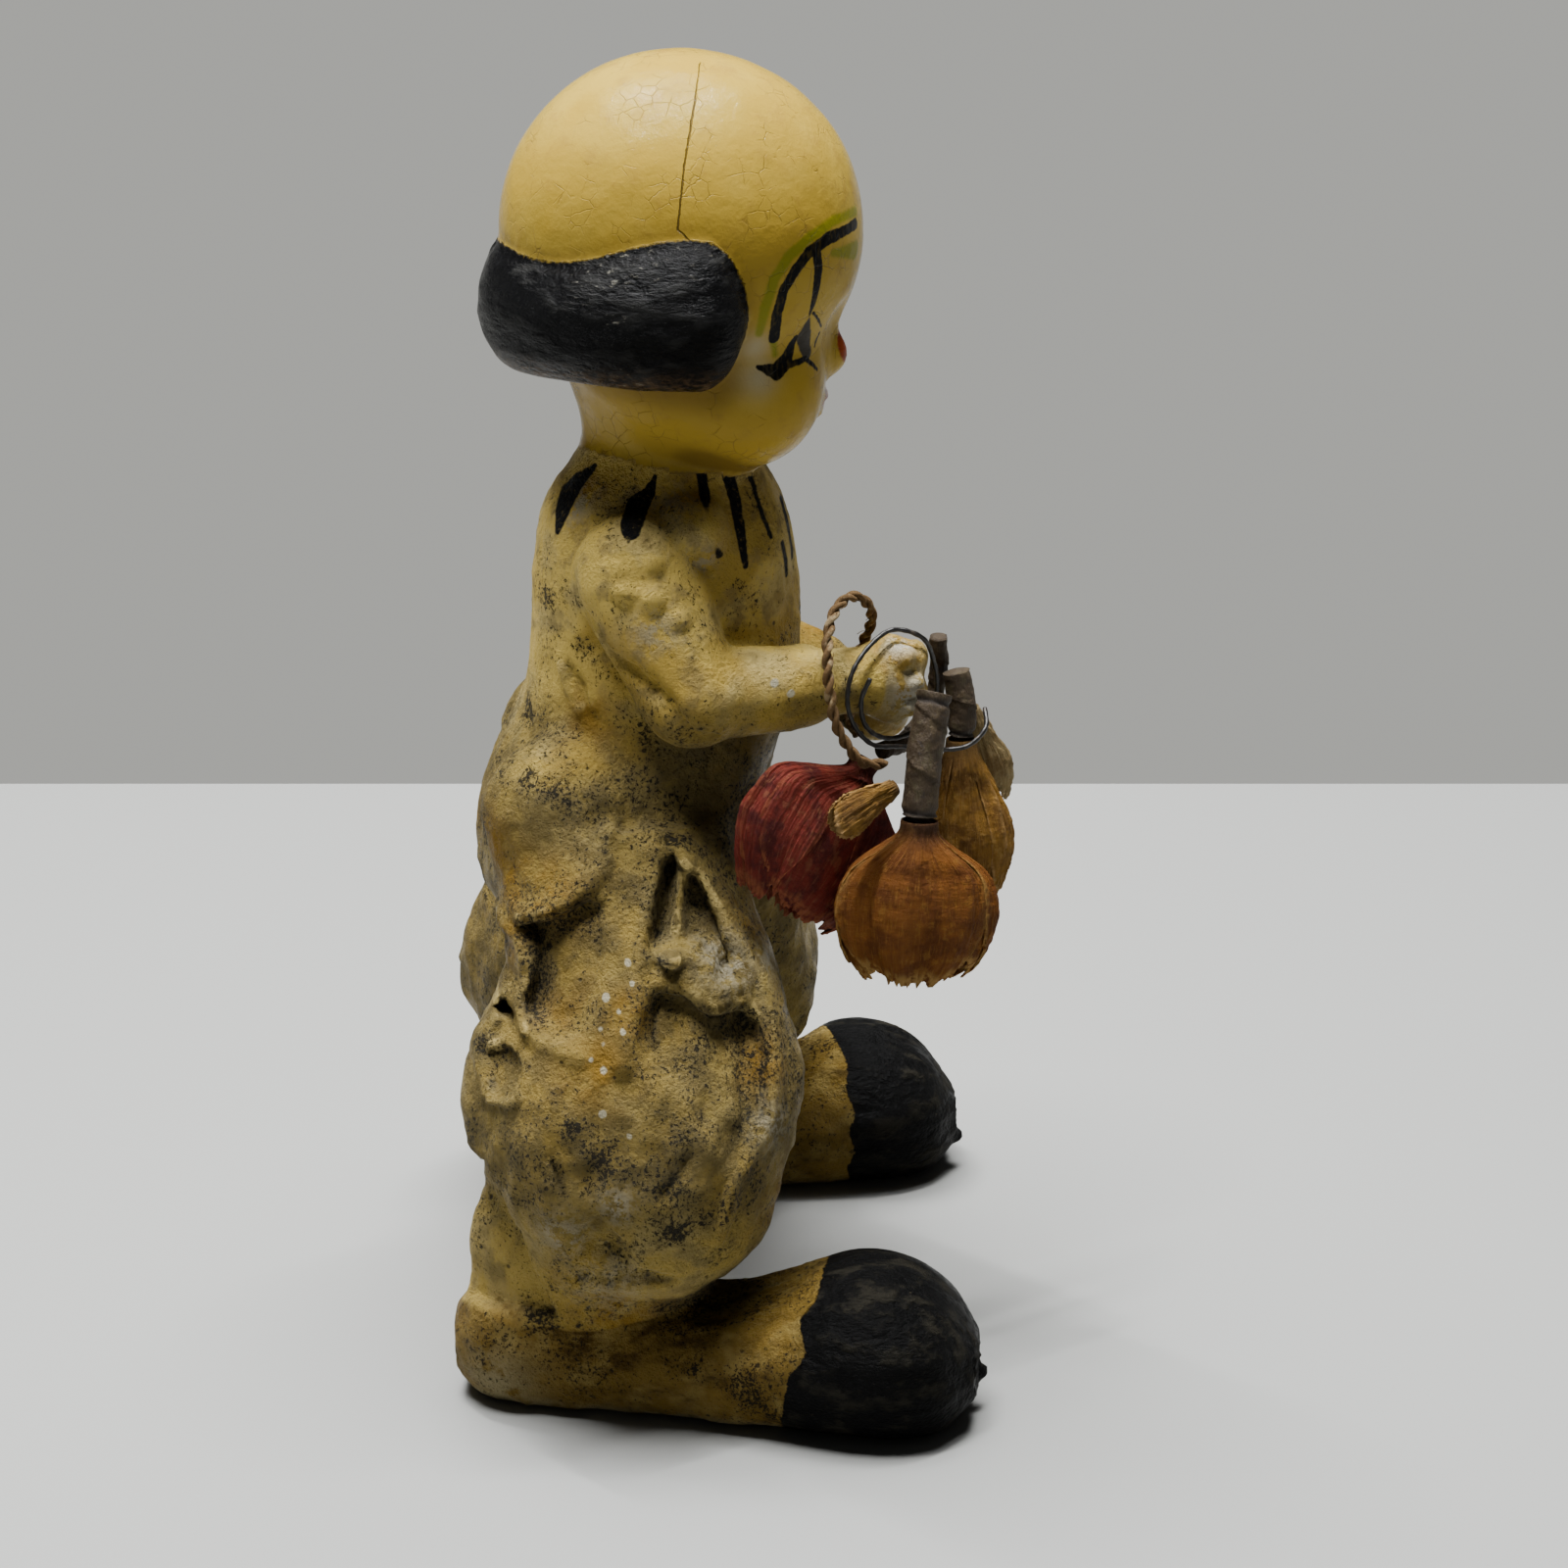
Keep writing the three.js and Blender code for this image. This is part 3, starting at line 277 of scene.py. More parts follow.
WAVY_LIP = [
    (9.9, 73.3), (7.4, 73.5), (4.8, 73), (1.9, 72.4), (0.2, 71.5), (-0.4, 70.5), (0.5, 69.7), (-0.2, 68.4),
    (-2.3, 68.2), (-4.9, 67.6),
]
TUCKED_FOLD = [(4.6, 83.6), (5.1, 80.2), (5.6, 76.4), (5.9, 73.4)]
BACK_PANEL = [
    (28.9, 75.7), (25, 77.6), (21.5, 79.6), (18.5, 81.2), (15.9, 80.2), (14.9, 79.1), (15, 75.9), (14.7, 72),
    (15.3, 69.2), (16.6, 66.4), (17.8, 63.9), (18.6, 61.7), (21.1, 61.5), (23.8, 62.1), (26.5, 62.2),
    (28.1, 62.5), (28.2, 64.3), (27.2, 68.3), (27.4, 72.1), (28.9, 74.5),
]
DARK_RECESS = [
    (7.5, 85), (5.8, 85.7), (3.9, 84.7), (2.2, 82.4), (0.3, 78.8), (-1.6, 74.8), (-3.1, 71.7), (-3.8, 68.8),
    (-2.3, 68.2), (-0.7, 68.3), (0.6, 69.9), (-0.2, 71), (0.6, 71.7), (4.8, 73.1), (7.4, 73.5), (9.9, 73.3),
    (9.4, 76.6), (8.6, 80.1), (7.7, 82.9),
]
LOWER_RECESS = [
    (10.4, 66.4), (9.4, 69.3), (7.3, 69.8), (4.8, 69.1), (3.1, 68.7), (1.4, 67.1), (-0.3, 65.8), (-2.8, 65.8),
    (-5.3, 64.6), (-7.2, 61.9), (-8.3, 58), (-8.5, 53.7), (-7.7, 50), (-5.8, 47), (-3.2, 43.7), (-1.1, 43.6),
    (0.5, 46.7), (2, 50.2), (3.8, 53.5), (6.4, 56.2), (9.3, 58.7), (11.2, 61.3), (11, 63.9),
]
BEHIND_HEM = [
    (33.2, 42.3), (31.9, 39.6), (30.6, 36.8), (29.3, 34.5), (28.3, 31.7), (26.9, 26.7), (25.2, 23.8),
    (23.6, 20.9), (23, 17), (45, 17), (45, 42.3),
]
HEM_ARCH = [
    (20.6, 33.9), (20.1, 37.4), (18.2, 39.2), (16.1, 39.3), (14, 37.7), (11.5, 34.2), (9.5, 31.1),
    (7.4, 29.2), (4.9, 28.1), (4, 25.4), (21.4, 25.4),
]
ANKLE = [(16.6, 29.4), (12.6, 29)]
# Small creases, folds and tears of the right leg alone.
ARCH_FOLD = [(19.1, 33.8), (17.4, 35.3), (15.7, 36), (14, 35.6), (12.4, 32.6), (9.9, 30)]
LOOP_CREASE = [
    (33.6, 51.8), (30.7, 52.4), (28.2, 54.2), (27.4, 57.2), (28.2, 59.2), (30.6, 59.5), (33.4, 57.9),
]
TORN_EDGE = [(31.2, 65.7), (31.8, 62.9), (35.5, 57.2), (35.4, 55.4), (34.1, 54.4), (33.1, 52.4)]
PINCHES = [
    [(8.2, 56.4), (9.6, 51), (10.2, 44.6), (9.2, 38.6)],
    [(23.2, 58.4), (24.4, 50.2), (24, 42), (22.6, 35.4)],
    [(17.6, 57.8), (18.8, 51.6), (18.4, 46.8)],
    [(-1.2, 52.4), (1.2, 47.2), (2.2, 41.4)],
]
SPLITS = [
    [(3.4, 47), (4.7, 45.2), (6, 43.3), (7.2, 41.8)],
    [(23.8, 47.1), (21.7, 42.1)],
]
HOLE = [(31.6, 64.2), (28.6, 61.7), (30.5, 61.4), (32.4, 61.6)]
RECESS_STREAKS = [
    [(4.4, 66.8), (3.4, 60.2), (2.4, 54.2)], [(-1.6, 63.6), (-2.8, 57.6), (-3.2, 50.4)],
    [(7.6, 67.2), (7.4, 62.4), (6.2, 58)], [(-4.8, 62.6), (-6, 56.8), (-5.8, 51.2)],
]


def gap_to(points, closed, y, z):
    """How far (y, z) is from the nearest side of an outline or line, below zero inside an outline."""
    best = np.full(y.shape, 1e3)
    inside = np.zeros(y.shape, bool)
    for i in range(0 if closed else 1, len(points)):
        (ay, az), (by, bz) = points[i - 1], points[i]
        ey, ez = by - ay, bz - az
        t = np.clip(((y - ay) * ey + (z - az) * ez) / (ey * ey + ez * ez), 0.0, 1.0)
        best = np.minimum(best, np.hypot(y - ay - ey * t, z - az - ez * t))
        if az != bz:
            inside ^= ((az > z) != (bz > z)) & (y < ay + (z - az) * ey / ez)
    return np.where(inside, -best, best) if closed else best


def pressed(y, z, outline, soft, depth):
    return -depth * smooth(-gap_to(outline, True, y, z) / soft)


def raised(y, z, line, width, height):
    return height * smooth(1.0 - gap_to(line, False, y, z) / width)


# The relief of both legs' folds, and of the right leg's own, kept as maps over (y, z).
MAP_LOW, MAP_HIGH, MAP_STEP = (-24.0, 14.0), (48.0, 94.0), 0.2
FAR_LEG_SHARE = 0.7


def fold_maps():
    rows = [np.arange(low, high, MAP_STEP) for low, high in zip(MAP_LOW, MAP_HIGH)]
    y, z = np.meshgrid(*rows, indexing="ij")
    front, back = 4.0 - 0.5 * (85.0 - z), 7.8 + 0.15 * (85.0 - z)
    deep_beside_fold = mix(2.0, 5.2, smooth((y - front) / (back - front)))
    deep_under_lip = mix(1.0, 3.8, smooth((z - 46.0) / 21.0))
    both = (
        pressed(y, z, BACK_PANEL, 2.2, 2.4)
        + pressed(y, z, DARK_RECESS, 1.3, deep_beside_fold)
        + pressed(y, z, LOWER_RECESS, 2.2, deep_under_lip)
        + pressed(y, z, BEHIND_HEM, 0.9, 1.8)
        + pressed(y, z, HEM_ARCH, 2.6, 2.4)
        + raised(y, z, HIP_RIM, 2.1, 1.4)
        + raised(y, z, BACK_EDGE, 1.9, 1.2)
        + raised(y, z, LEDGE, 1.8, 0.9)
        + raised(y, z, LONG_FOLD, 2.6, 1.7)
        + raised(y, z, FRONT_FOLD, 2.2, 1.4)
        + raised(y, z, WAVY_LIP, 1.5, 0.8)
        + raised(y, z, TUCKED_FOLD, 2.2, 3.4)
        + raised(y, z, ANKLE, 5.0, 2.2)
    )
    own = (
        raised(y, z, ARCH_FOLD, 1.6, 0.7)
        + raised(y, z, LOOP_CREASE, 1.2, 0.8)
        + raised(y, z, TORN_EDGE, 1.4, 0.9)
        + pressed(y, z, LOOP_CREASE, 1.4, 0.7)
        + pressed(y, z, HOLE, 0.5, 3.0)
    )
    for line in PINCHES:
        own += raised(y, z, line, 2.4, 0.5)
    for line in SPLITS:
        own -= raised(y, z, line, 0.9, 0.8)
    for line in RECESS_STREAKS:
        own += raised(y, z, line, 1.3, 0.6)
    return both, own


BOTH_LEGS, RIGHT_LEG = fold_maps()


def read_map(values, y, z):
    u = np.clip((y - MAP_LOW[0]) / MAP_STEP, 0.0, values.shape[0] - 1.001)
    v = np.clip((z - MAP_LOW[1]) / MAP_STEP, 0.0, values.shape[1] - 1.001)
    i, j = u.astype(int), v.astype(int)
    u, v = u - i, v - j
    return (
        values[i, j] * (1 - u) * (1 - v) + values[i + 1, j] * u * (1 - v)
        + values[i, j + 1] * (1 - u) * v + values[i + 1, j + 1] * u * v
    )


def folds_at(p):
    """How far the folds stand out from the cloth. They lie on the outer side of each leg."""
    x, y, z = p.T
    leg_centre = np.minimum(38.0, 15.0 + 0.39 * (88.0 - z))
    outward = smooth((np.abs(x) - leg_centre) / 6.0) * ((z > 16.0) & (z < 91.0))
    on = outward > 0.0
    height = np.zeros(len(p))
    height[on] = outward[on] * np.where(
        x[on] < 0.0,
        read_map(BOTH_LEGS, y[on], z[on]) + read_map(RIGHT_LEG, y[on], z[on]),
        FAR_LEG_SHARE * read_map(BOTH_LEGS, y[on], z[on]),
    )
    return height


# Finer forms than the solid carries, each through points on the surface.
def ridge(points, radius, reach=0.6, end_radius=None):
    count = len(points) - 1
    end_radius = radius if end_radius is None else end_radius
    sizes = [mix(radius, end_radius, i / count) for i in range(count + 1)]
    return [
        add(limb(points[i], points[i + 1], sizes[i], sizes[i + 1]), reach)
        for i in range(count)
    ]


def furrow(points, radius, reach=0.5):
    return [cut(limb(a, b, radius), reach) for a, b in zip(points, points[1:])]


def lump(centre, radii, reach=0.8):
    return add(ellipsoid(centre, radii), reach)


# The sleeve's lower back edge, where it lies against the smock.
SLEEVE_BACK = [
    (-20.6, 20.3, 124.1), (-21.3, 19.3, 120.7), (-24.2, 16.5, 117.6), (-25.4, 14.8, 114.4),
    (-29.6, 11.2, 112.8), (-31.2, 9.1, 111.2), (-33.1, 6.3, 109.3), (-33.6, 5, 107), (-32.6, 2.6, 103.8),
    (-31.2, -0.1, 103.1),
]
CHEST_EDGE = [
    (-19.1, 7.5, 133), (-22.6, 6.4, 130.4), (-22.9, 4.4, 127.6), (-21.5, 1.7, 125.5), (-19.6, -0.7, 125.3),
    (-18.8, -1.4, 126.5),
]
SLIT = [
    (-17, 22, 109.6), (-17.8, 21.1, 108.4), (-18.7, 19.9, 107.2), (-19.4, 19, 104.9), (-20.3, 17.9, 102.6),
]


def shoulder_details():
    return [
        lump((-15.6, 3.4, 130.4), (7.2, 6.0, 5.4), 0.7),
        lump((-25.6, 13.4, 127.6), (2.4, 2.6, 1.8)),
        lump((-25.8, 9, 128.4), (2.2, 2.2, 1.6)),
        lump((-27.4, 12.6, 124.6), (2.2, 2.4, 1.6)),
        lump((-28.4, 8.6, 123.6), (2.2, 2.2, 1.8)),
        lump((-28.6, 5.4, 120.8), (2.0, 2.2, 1.6)),
        *furrow(SLEEVE_BACK, 0.8, 1.2),
        *furrow(SLIT, 0.6),
        *ridge([(-16.4, 23, 109.6), (-17.4, 21.6, 106.2), (-19, 20, 103.4)], 0.7),
    ]


def hand_details():
    return [
        lump((-18.2, -28.4, 111.6), (2.2, 2, 1.8), 0.6),
        lump((-18.6, -29.6, 107.6), (1.9, 2, 1.9), 0.6),
        lump((-18.2, -29.2, 103.8), (1.9, 1.8, 1.6), 0.6),
        *furrow([(-20.4, -27.2, 112.6), (-20.9, -26.8, 108.6), (-20.2, -26.8, 104.6)], 0.5),
        *furrow([(-20, -28.6, 109.7), (-18.4, -31.2, 109.6)], 0.35),
        *furrow([(-19.8, -28.4, 105.6), (-18.2, -31.2, 105.6)], 0.35),
    ]


def toe_details(side):
    return [lump((side * 43.7, -39.9, 5.8), (1.6, 1.6, 1.4), 0.6)]


CLOWN = [*BASE, *HIP_LOBES, *shoulder_details(), *hand_details(), *toe_details(RIGHT), *toe_details(LEFT)]


def clown_distance(p):
    return np.maximum(evaluate(CLOWN, p) - folds_at(p), -p[:, 2])


# Meshes from forms.
def sample(distance, low, high):
    """The distance on a fine grid. Blocks of the grid far from the surface take one value each."""
    low = np.array(low)
    blocks = np.ceil((np.array(high) - low) / (CELL * BLOCK)).astype(int)
    corner = np.stack(np.meshgrid(*[np.arange(n) for n in blocks], indexing="ij"), axis=-1).reshape(-1, 3)
    middle = low + (corner + 0.5 - 0.5 / BLOCK) * BLOCK * CELL
    coarse = distance(middle)
    near = np.abs(coarse) < 1.3 * BLOCK * CELL
    step = np.stack(np.meshgrid(*[np.arange(BLOCK)] * 3, indexing="ij"), axis=-1).reshape(-1, 3)
    values = np.repeat(coarse[:, None], BLOCK**3, axis=1)
    places = low + (corner[near][:, None] * BLOCK + step) * CELL
    values[near] = distance(places.reshape(-1, 3)).reshape(-1, BLOCK**3)
    split = values.reshape(*blocks, BLOCK, BLOCK, BLOCK)
    return split.transpose(0, 3, 1, 4, 2, 5).reshape(*(blocks * BLOCK))


def surface_of(values, low):
    """The zero surface of a sampled grid: a vertex in each cell it crosses, a quad on each edge."""
    inside = values < 0
    shape = np.array(values.shape) - 1
    count = np.zeros(shape, np.uint8)
    for i, j, k in np.ndindex(2, 2, 2):
        count += inside[i:shape[0] + i, j:shape[1] + j, k:shape[2] + k]
    crossed = (count > 0) & (count < 8)
    number = np.full(shape, -1)
    number[crossed] = np.arange(crossed.sum())
    cells = np.argwhere(crossed)
    total, hits = np.zeros((len(cells), 3)), np.zeros(len(cells))
    for axis in range(3):
        for u, v in np.ndindex(2, 2):
            start = cells.copy()
            start[:, (axis + 1) % 3] += u
            start[:, (axis + 2) % 3] += v
            end = start.copy()
            end[:, axis] += 1
            a, b = values[tuple(start.T)], values[tuple(end.T)]
            crosses = (a < 0) != (b < 0)
            place = start.astype(float)
            place[:, axis] += np.where(crosses, a / np.where(crosses, a - b, 1.0), 0.0)
            total += place * crosses[:, None]
            hits += crosses
    vertices = np.array(low) + CELL * total / hits[:, None]
    quads = []
    for axis in range(3):
        ahead = np.roll(inside, -1, axis)
        edges = np.argwhere(inside != ahead)
        u, v = (axis + 1) % 3, (axis + 2) % 3
        safe = (edges[:, axis] < shape[axis]) & (edges[:, u] > 0) & (edges[:, v] > 0)
        safe &= (edges[:, u] < shape[u]) & (edges[:, v] < shape[v])
        edges = edges[safe]
        ring = []
        for back_u, back_v in ((1, 1), (0, 1), (0, 0), (1, 0)):
            cell = edges.copy()
            cell[:, u] -= back_u
            cell[:, v] -= back_v
            ring.append(number[tuple(cell.T)])
        ring = np.stack(ring, axis=1)
        starts_inside = inside[tuple(edges.T)]
        quads.append(np.where(starts_inside[:, None], ring, ring[:, ::-1]))
    return vertices, np.concatenate(quads)


def slope_of(distance, p, step=0.2):
    out = np.empty_like(p)
    for axis in range(3):
        shift = np.zeros(3)
        shift[axis] = step
        out[:, axis] = distance(p + shift) - distance(p - shift)
    return out / np.maximum(np.linalg.norm(out, axis=1), 1e-9)[:, None]


def lumps(p, size, seed):
    """Smooth random values from -1 to 1 that change over about the given size."""
    table = np.random.default_rng(seed).uniform(-1, 1, (32, 32, 32))
    q = p / np.array(size)
    cell = np.floor(q).astype(int)
    t = smooth(q - cell)
    total = np.zeros(len(p))
    for corner in np.ndindex(2, 2, 2):
        weight = np.prod(np.where(corner, t, 1 - t), axis=1)
        total += weight * table[tuple(((cell + corner) % 32).T)]
    return total


def nearest(p, points):
    """How far each place is from a line through some points."""
    points = np.array(points, float)
    best = np.full(len(p), 1e3)
    for a, b in zip(points, points[1:]):
        along = b - a
        t = np.clip((p - a) @ along / max(along @ along, 1e-9), 0.0, 1.0)
        best = np.minimum(best, np.linalg.norm(p - a - t[:, None] * along, axis=1))
    return best


def to_object(name, vertices, faces, material, attributes=(), uv=None, second=None, is_second=None):
    """A smooth shaded mesh object, in metres, with named values on its points.
    Faces where is_second holds take the second material."""
    vertices, faces = np.asarray(vertices, float) * 0.001, np.asarray(faces)
    mesh = bpy.data.meshes.new(name)
    mesh.vertices.add(len(vertices))
    mesh.vertices.foreach_set("co", vertices.ravel())
    size = faces.shape[1]
    mesh.loops.add(faces.size)
    mesh.loops.foreach_set("vertex_index", faces.ravel())
    mesh.polygons.add(len(faces))
    mesh.polygons.foreach_set("loop_start", np.arange(0, faces.size, size))
    mesh.polygons.foreach_set("loop_total", np.full(len(faces), size))
    mesh.update(calc_edges=True)
    mesh.validate()
    mesh.polygons.foreach_set("use_smooth", np.full(len(mesh.polygons), True))
    for key, values in dict(attributes).items():
        layer = mesh.attributes.new(key, "FLOAT", "POINT")
        layer.data.foreach_set("value", np.asarray(values, np.float32))
    if uv is not None:
        layer = mesh.uv_layers.new(name="UVMap")
        layer.data.foreach_set("uv", np.asarray(uv)[faces.ravel()].astype(np.float32).ravel())
    mesh.materials.append(material)
    if second is not None:
        mesh.materials.append(second)
        mesh.polygons.foreach_set("material_index", np.asarray(is_second, np.int32))
    thing = bpy.data.objects.new(name, mesh)
    bpy.context.scene.collection.objects.link(thing)
    return thing


# Materials.
class Paint:
    """Builds one material out of nodes. Each method gives back the socket that holds its result."""

    def __init__(self, name):
        self.material = bpy.data.materials.new(name)
        self.material.use_nodes = True
        self.tree = self.material.node_tree
        self.tree.nodes.clear()

    def node(self, kind, inputs=(), output=0, **settings):
        made = self.tree.nodes.new("ShaderNode" + kind)
        for key, value in settings.items():
            setattr(made, key, value)
        for key, value in dict(inputs).items():
            if isinstance(value, bpy.types.NodeSocket):
                self.tree.links.new(value, made.inputs[key])
            else:
                made.inputs[key].default_value = value
        return made.outputs[output]

    def math(self, operation, *values, clamp=False):
        return self.node("Math", dict(enumerate(values)), operation=operation, use_clamp=clamp)

    def vector(self, operation, *values):
        return self.node("VectorMath", dict(enumerate(values)), operation=operation)

    def place(self):
        """Where the point is, in millimetres, in the object's own frame."""
        found = self.node("TexCoord", output="Object")
        return self.node("VectorMath", {0: found, "Scale": 1000.0}, operation="SCALE")

    def value(self, name):
        return self.node("Attribute", output="Fac", attribute_name=name)

    def noise(self, vector, size, detail=3.0, roughness=0.55, distortion=0.0, output="Fac"):
        """Soft noise whose lumps are about the given size."""
        inputs = {"Vector": vector, "Scale": 1.0 / size, "Detail": detail,
                  "Roughness": roughness, "Distortion": distortion}
        return self.node("TexNoise", inputs, output=output)

    def cells(self, vector, size, feature="F1", randomness=1.0):
        inputs = {"Vector": vector, "Scale": 1.0 / size, "Randomness": randomness}
        return self.node("TexVoronoi", inputs, output="Distance", feature=feature)

    def stretch(self, vector, factors):
        return self.vector("MULTIPLY", vector, factors)

    def rise(self, value, low, high):
        """0 below low, 1 above high, and a soft step between. It falls where high is under low."""
        inputs = {"Value": value, "From Min": low, "From Max": high}
        return self.node("MapRange", inputs, interpolation_type="SMOOTHSTEP")

    def times(self, *values):
        return functools.reduce(lambda a, b: self.math("MULTIPLY", a, b), values)

    def plus(self, *values):
        return functools.reduce(lambda a, b: self.math("ADD", a, b), values)

    def most(self, *values):
        return functools.reduce(lambda a, b: self.math("MAXIMUM", a, b), values)

    def least(self, *values):
        return functools.reduce(lambda a, b: self.math("MINIMUM", a, b), values)

    def colours(self, factor, a, b):
        return self.node("Mix", {0: factor, 6: a, 7: b}, output=2, data_type="RGBA")

    def numbers(self, factor, a, b):
        return self.node("Mix", {0: factor, 2: a, 3: b}, output=0, data_type="FLOAT")

    def layers(self, base, *tops):
        """Colours laid one over another, each (colour, how much)."""
        for colour, amount in tops:
            base = self.colours(amount, base, colour)
        return base

    def rod(self, place, a, b, radius_a, radius_b):
        """How far a point is from a rod between two places, below zero inside it."""
        a, b = np.array(a, float), np.array(b, float)
        along = b - a
        from_a = self.vector("SUBTRACT", place, tuple(a))
        scaled = tuple(along / max(along @ along, 1e-9))
        dot = self.node("VectorMath", {0: from_a, 1: scaled}, output="Value", operation="DOT_PRODUCT")
        t = self.math("ADD", dot, 0.0, clamp=True)
        on = self.node("VectorMath", {0: tuple(along), "Scale": t}, operation="SCALE")
        gap = self.node("VectorMath", {0: from_a, 1: on}, output="Value", operation="DISTANCE")
        radius = self.math("MULTIPLY_ADD", t, radius_b - radius_a, radius_a)
        return self.math("SUBTRACT", gap, radius)

    def stroke(self, place, points, radii):
        """How far a point is from a brush stroke through some places, with a radius at each."""
        rods = [self.rod(place, points[i], points[i + 1], radii[i], radii[i + 1])
                for i in range(len(points) - 1)]
        return self.least(*rods)

    def dot(self, place, centre, radius):
        gap = self.node("VectorMath", {0: place, 1: centre}, output="Value", operation="DISTANCE")
        return self.math("SUBTRACT", gap, radius)

    def finish(self, colour, roughness, height, depth, **values):
        """The shader: a height in millimetres gives its relief, and values go on its own sockets."""
        bump = self.node("Bump", {"Strength": 1.0, "Distance": depth * 0.001, "Height": height},
                         output="Normal")
        inputs = {"Base Color": colour, "Roughness": roughness, "Normal": bump}
        inputs.update({key.replace("_", " "): value for key, value in values.items()})
        shader = self.node("BsdfPrincipled", inputs, output="BSDF")
        out = self.tree.nodes.new("ShaderNodeOutputMaterial")
        self.tree.links.new(shader, out.inputs["Surface"])
        return self.material


def rgb(red, green, blue):
    return (red, green, blue, 1.0)


# The strokes on the face lie in mirror pairs, given for the side at +X.
BROW = [(18.8, -9.1, 160.2), (20.3, -9.5, 164.1), (20.8, -10.5, 167.8), (20, -12.2, 170.5),
        (18.6, -14, 172.7), (15.5, -16.9, 174.2), (7.9, -21, 174.9)]
BROW_GREEN = [(20.5, -7, 161.3), (21.7, -7.8, 165.2), (22, -9.1, 169.5), (20.9, -11.2, 172.6),
              (18.5, -14, 174.8), (14.1, -17.6, 176.5), (7.2, -21, 176.6)]
LID_GREEN = [(8, -21, 171), (14.6, -17.6, 171.9)]
BROW_END = [(18.8, -9.1, 159.6), (18.2, -9.4, 157.6)]
EYE_LINE = [(17.5, -15.2, 172.5), (17, -15.5, 169.9), (16.5, -15.1, 166.2), (16, -14.4, 162.6)]
IRIS = [(15.6, -14.2, 162.2), (14.8, -13.4, 159.6), (13.6, -13.9, 156.8)]
EYE_CORNER = [(19.2, -6.7, 156), (17.8, -9.4, 155), (17, -11, 156.4), (16, -12.2, 159.8)]
LOWER_LID = [(17.4, -10.4, 155.6), (13.8, -13.7, 156), (11.2, -15.3, 153.8)]
INNER_LINES = [[(15.4, -14.8, 163.2), (13.4, -15.6, 161.6), (11.9, -16, 160.4)],
               [(11.6, -15.7, 159.3), (11.9, -15, 157.5)]]
HEAD_CRACK = [(-6.5, 1.7, 198), (-16, 2.4, 193.1), (-22.3, 3.7, 185.8), (-25.4, 4.6, 177.3),
              (-27.1, 0.6, 173.8), (-23.9, -4.9, 169.2)]
COLLAR_STROKES = [
    ([(9.7, 17.7, 138.7), (8.9, 20.2, 136.3), (9.3, 22, 133.9), (11, 22.8, 131.8), (12.6, 23.3, 129.4)],
     [0.3, 0.9, 1.25, 1.05, 0.4]),
    ([(13.7, 8.6, 138.2), (15, 9.5, 136), (17.3, 11.2, 134.3), (21.3, 11.9, 132.9), (23.8, 12.2, 131.4)],
     [0.3, 0.95, 1.6, 1.6, 0.4]),
    ([(13.1, 1.9, 139), (15.1, 1.1, 134.7), (17.4, 0.2, 131.1), (18.6, -0.9, 127.8)], [0.8, 0.75, 0.7, 0.6]),
    ([(12.4, -1.9, 139), (13.3, -3.2, 134.3), (15.9, -4.1, 129.9), (17.2, -4.8, 125.5)],
     [0.95, 0.85, 0.7, 0.45]),
    ([(8.7, -5.5, 136.7), (10.1, -6.5, 133.8), (11.5, -7.4, 131.3), (11.7, -8.6, 128.3)],
     [0.3, 0.3, 0.3, 0.25]),
    ([(1.2, -10, 131.5), (3.5, -11.1, 128), (5.6, -11.8, 123.3)], [0.3, 0.3, 0.25]),
    ([(9.2, -10.2, 126.8), (9.3, -10.7, 124.5), (10, -10.9, 121.8)], [0.3, 0.3, 0.25]),
    ([(2.6, 22.8, 139.6), (3, 25.6, 134.6), (3.2, 26.8, 131)], [0.9, 1.3, 0.8]),
]
WHITE_DOTS = [
    (-45.3, 12.4, 72.8, 0.55), (-46.3, 11.7, 70.4, 0.4), (-47.5, 15.5, 68.3, 0.6), (-50.7, 16.3, 64.2, 0.5),
    (-50.9, 13, 64.3, 0.45), (-52.1, 15.9, 62.2, 0.5), (-53.8, 15.8, 58.9, 0.65), (-54.7, 15.9, 53.1, 0.6),
    (-27.5, -9.1, 110.4, 0.6), (-27, -11.5, 108.6, 0.6), (-34.2, 30.8, 76.4, 0.5), (-37.4, 31.2, 70.6, 0.5),
    (-48, 13.6, 66.6, 0.35), (-52.6, 17.6, 60.4, 0.4), (-41, 4, 76, 0.4), (-55, 12, 50, 0.4),
]
# How far a place lies into the surface from a stroke counts by this share of its true distance.
STROKE_DEPTH, CRACK_DEPTH = 0.2, 0.03


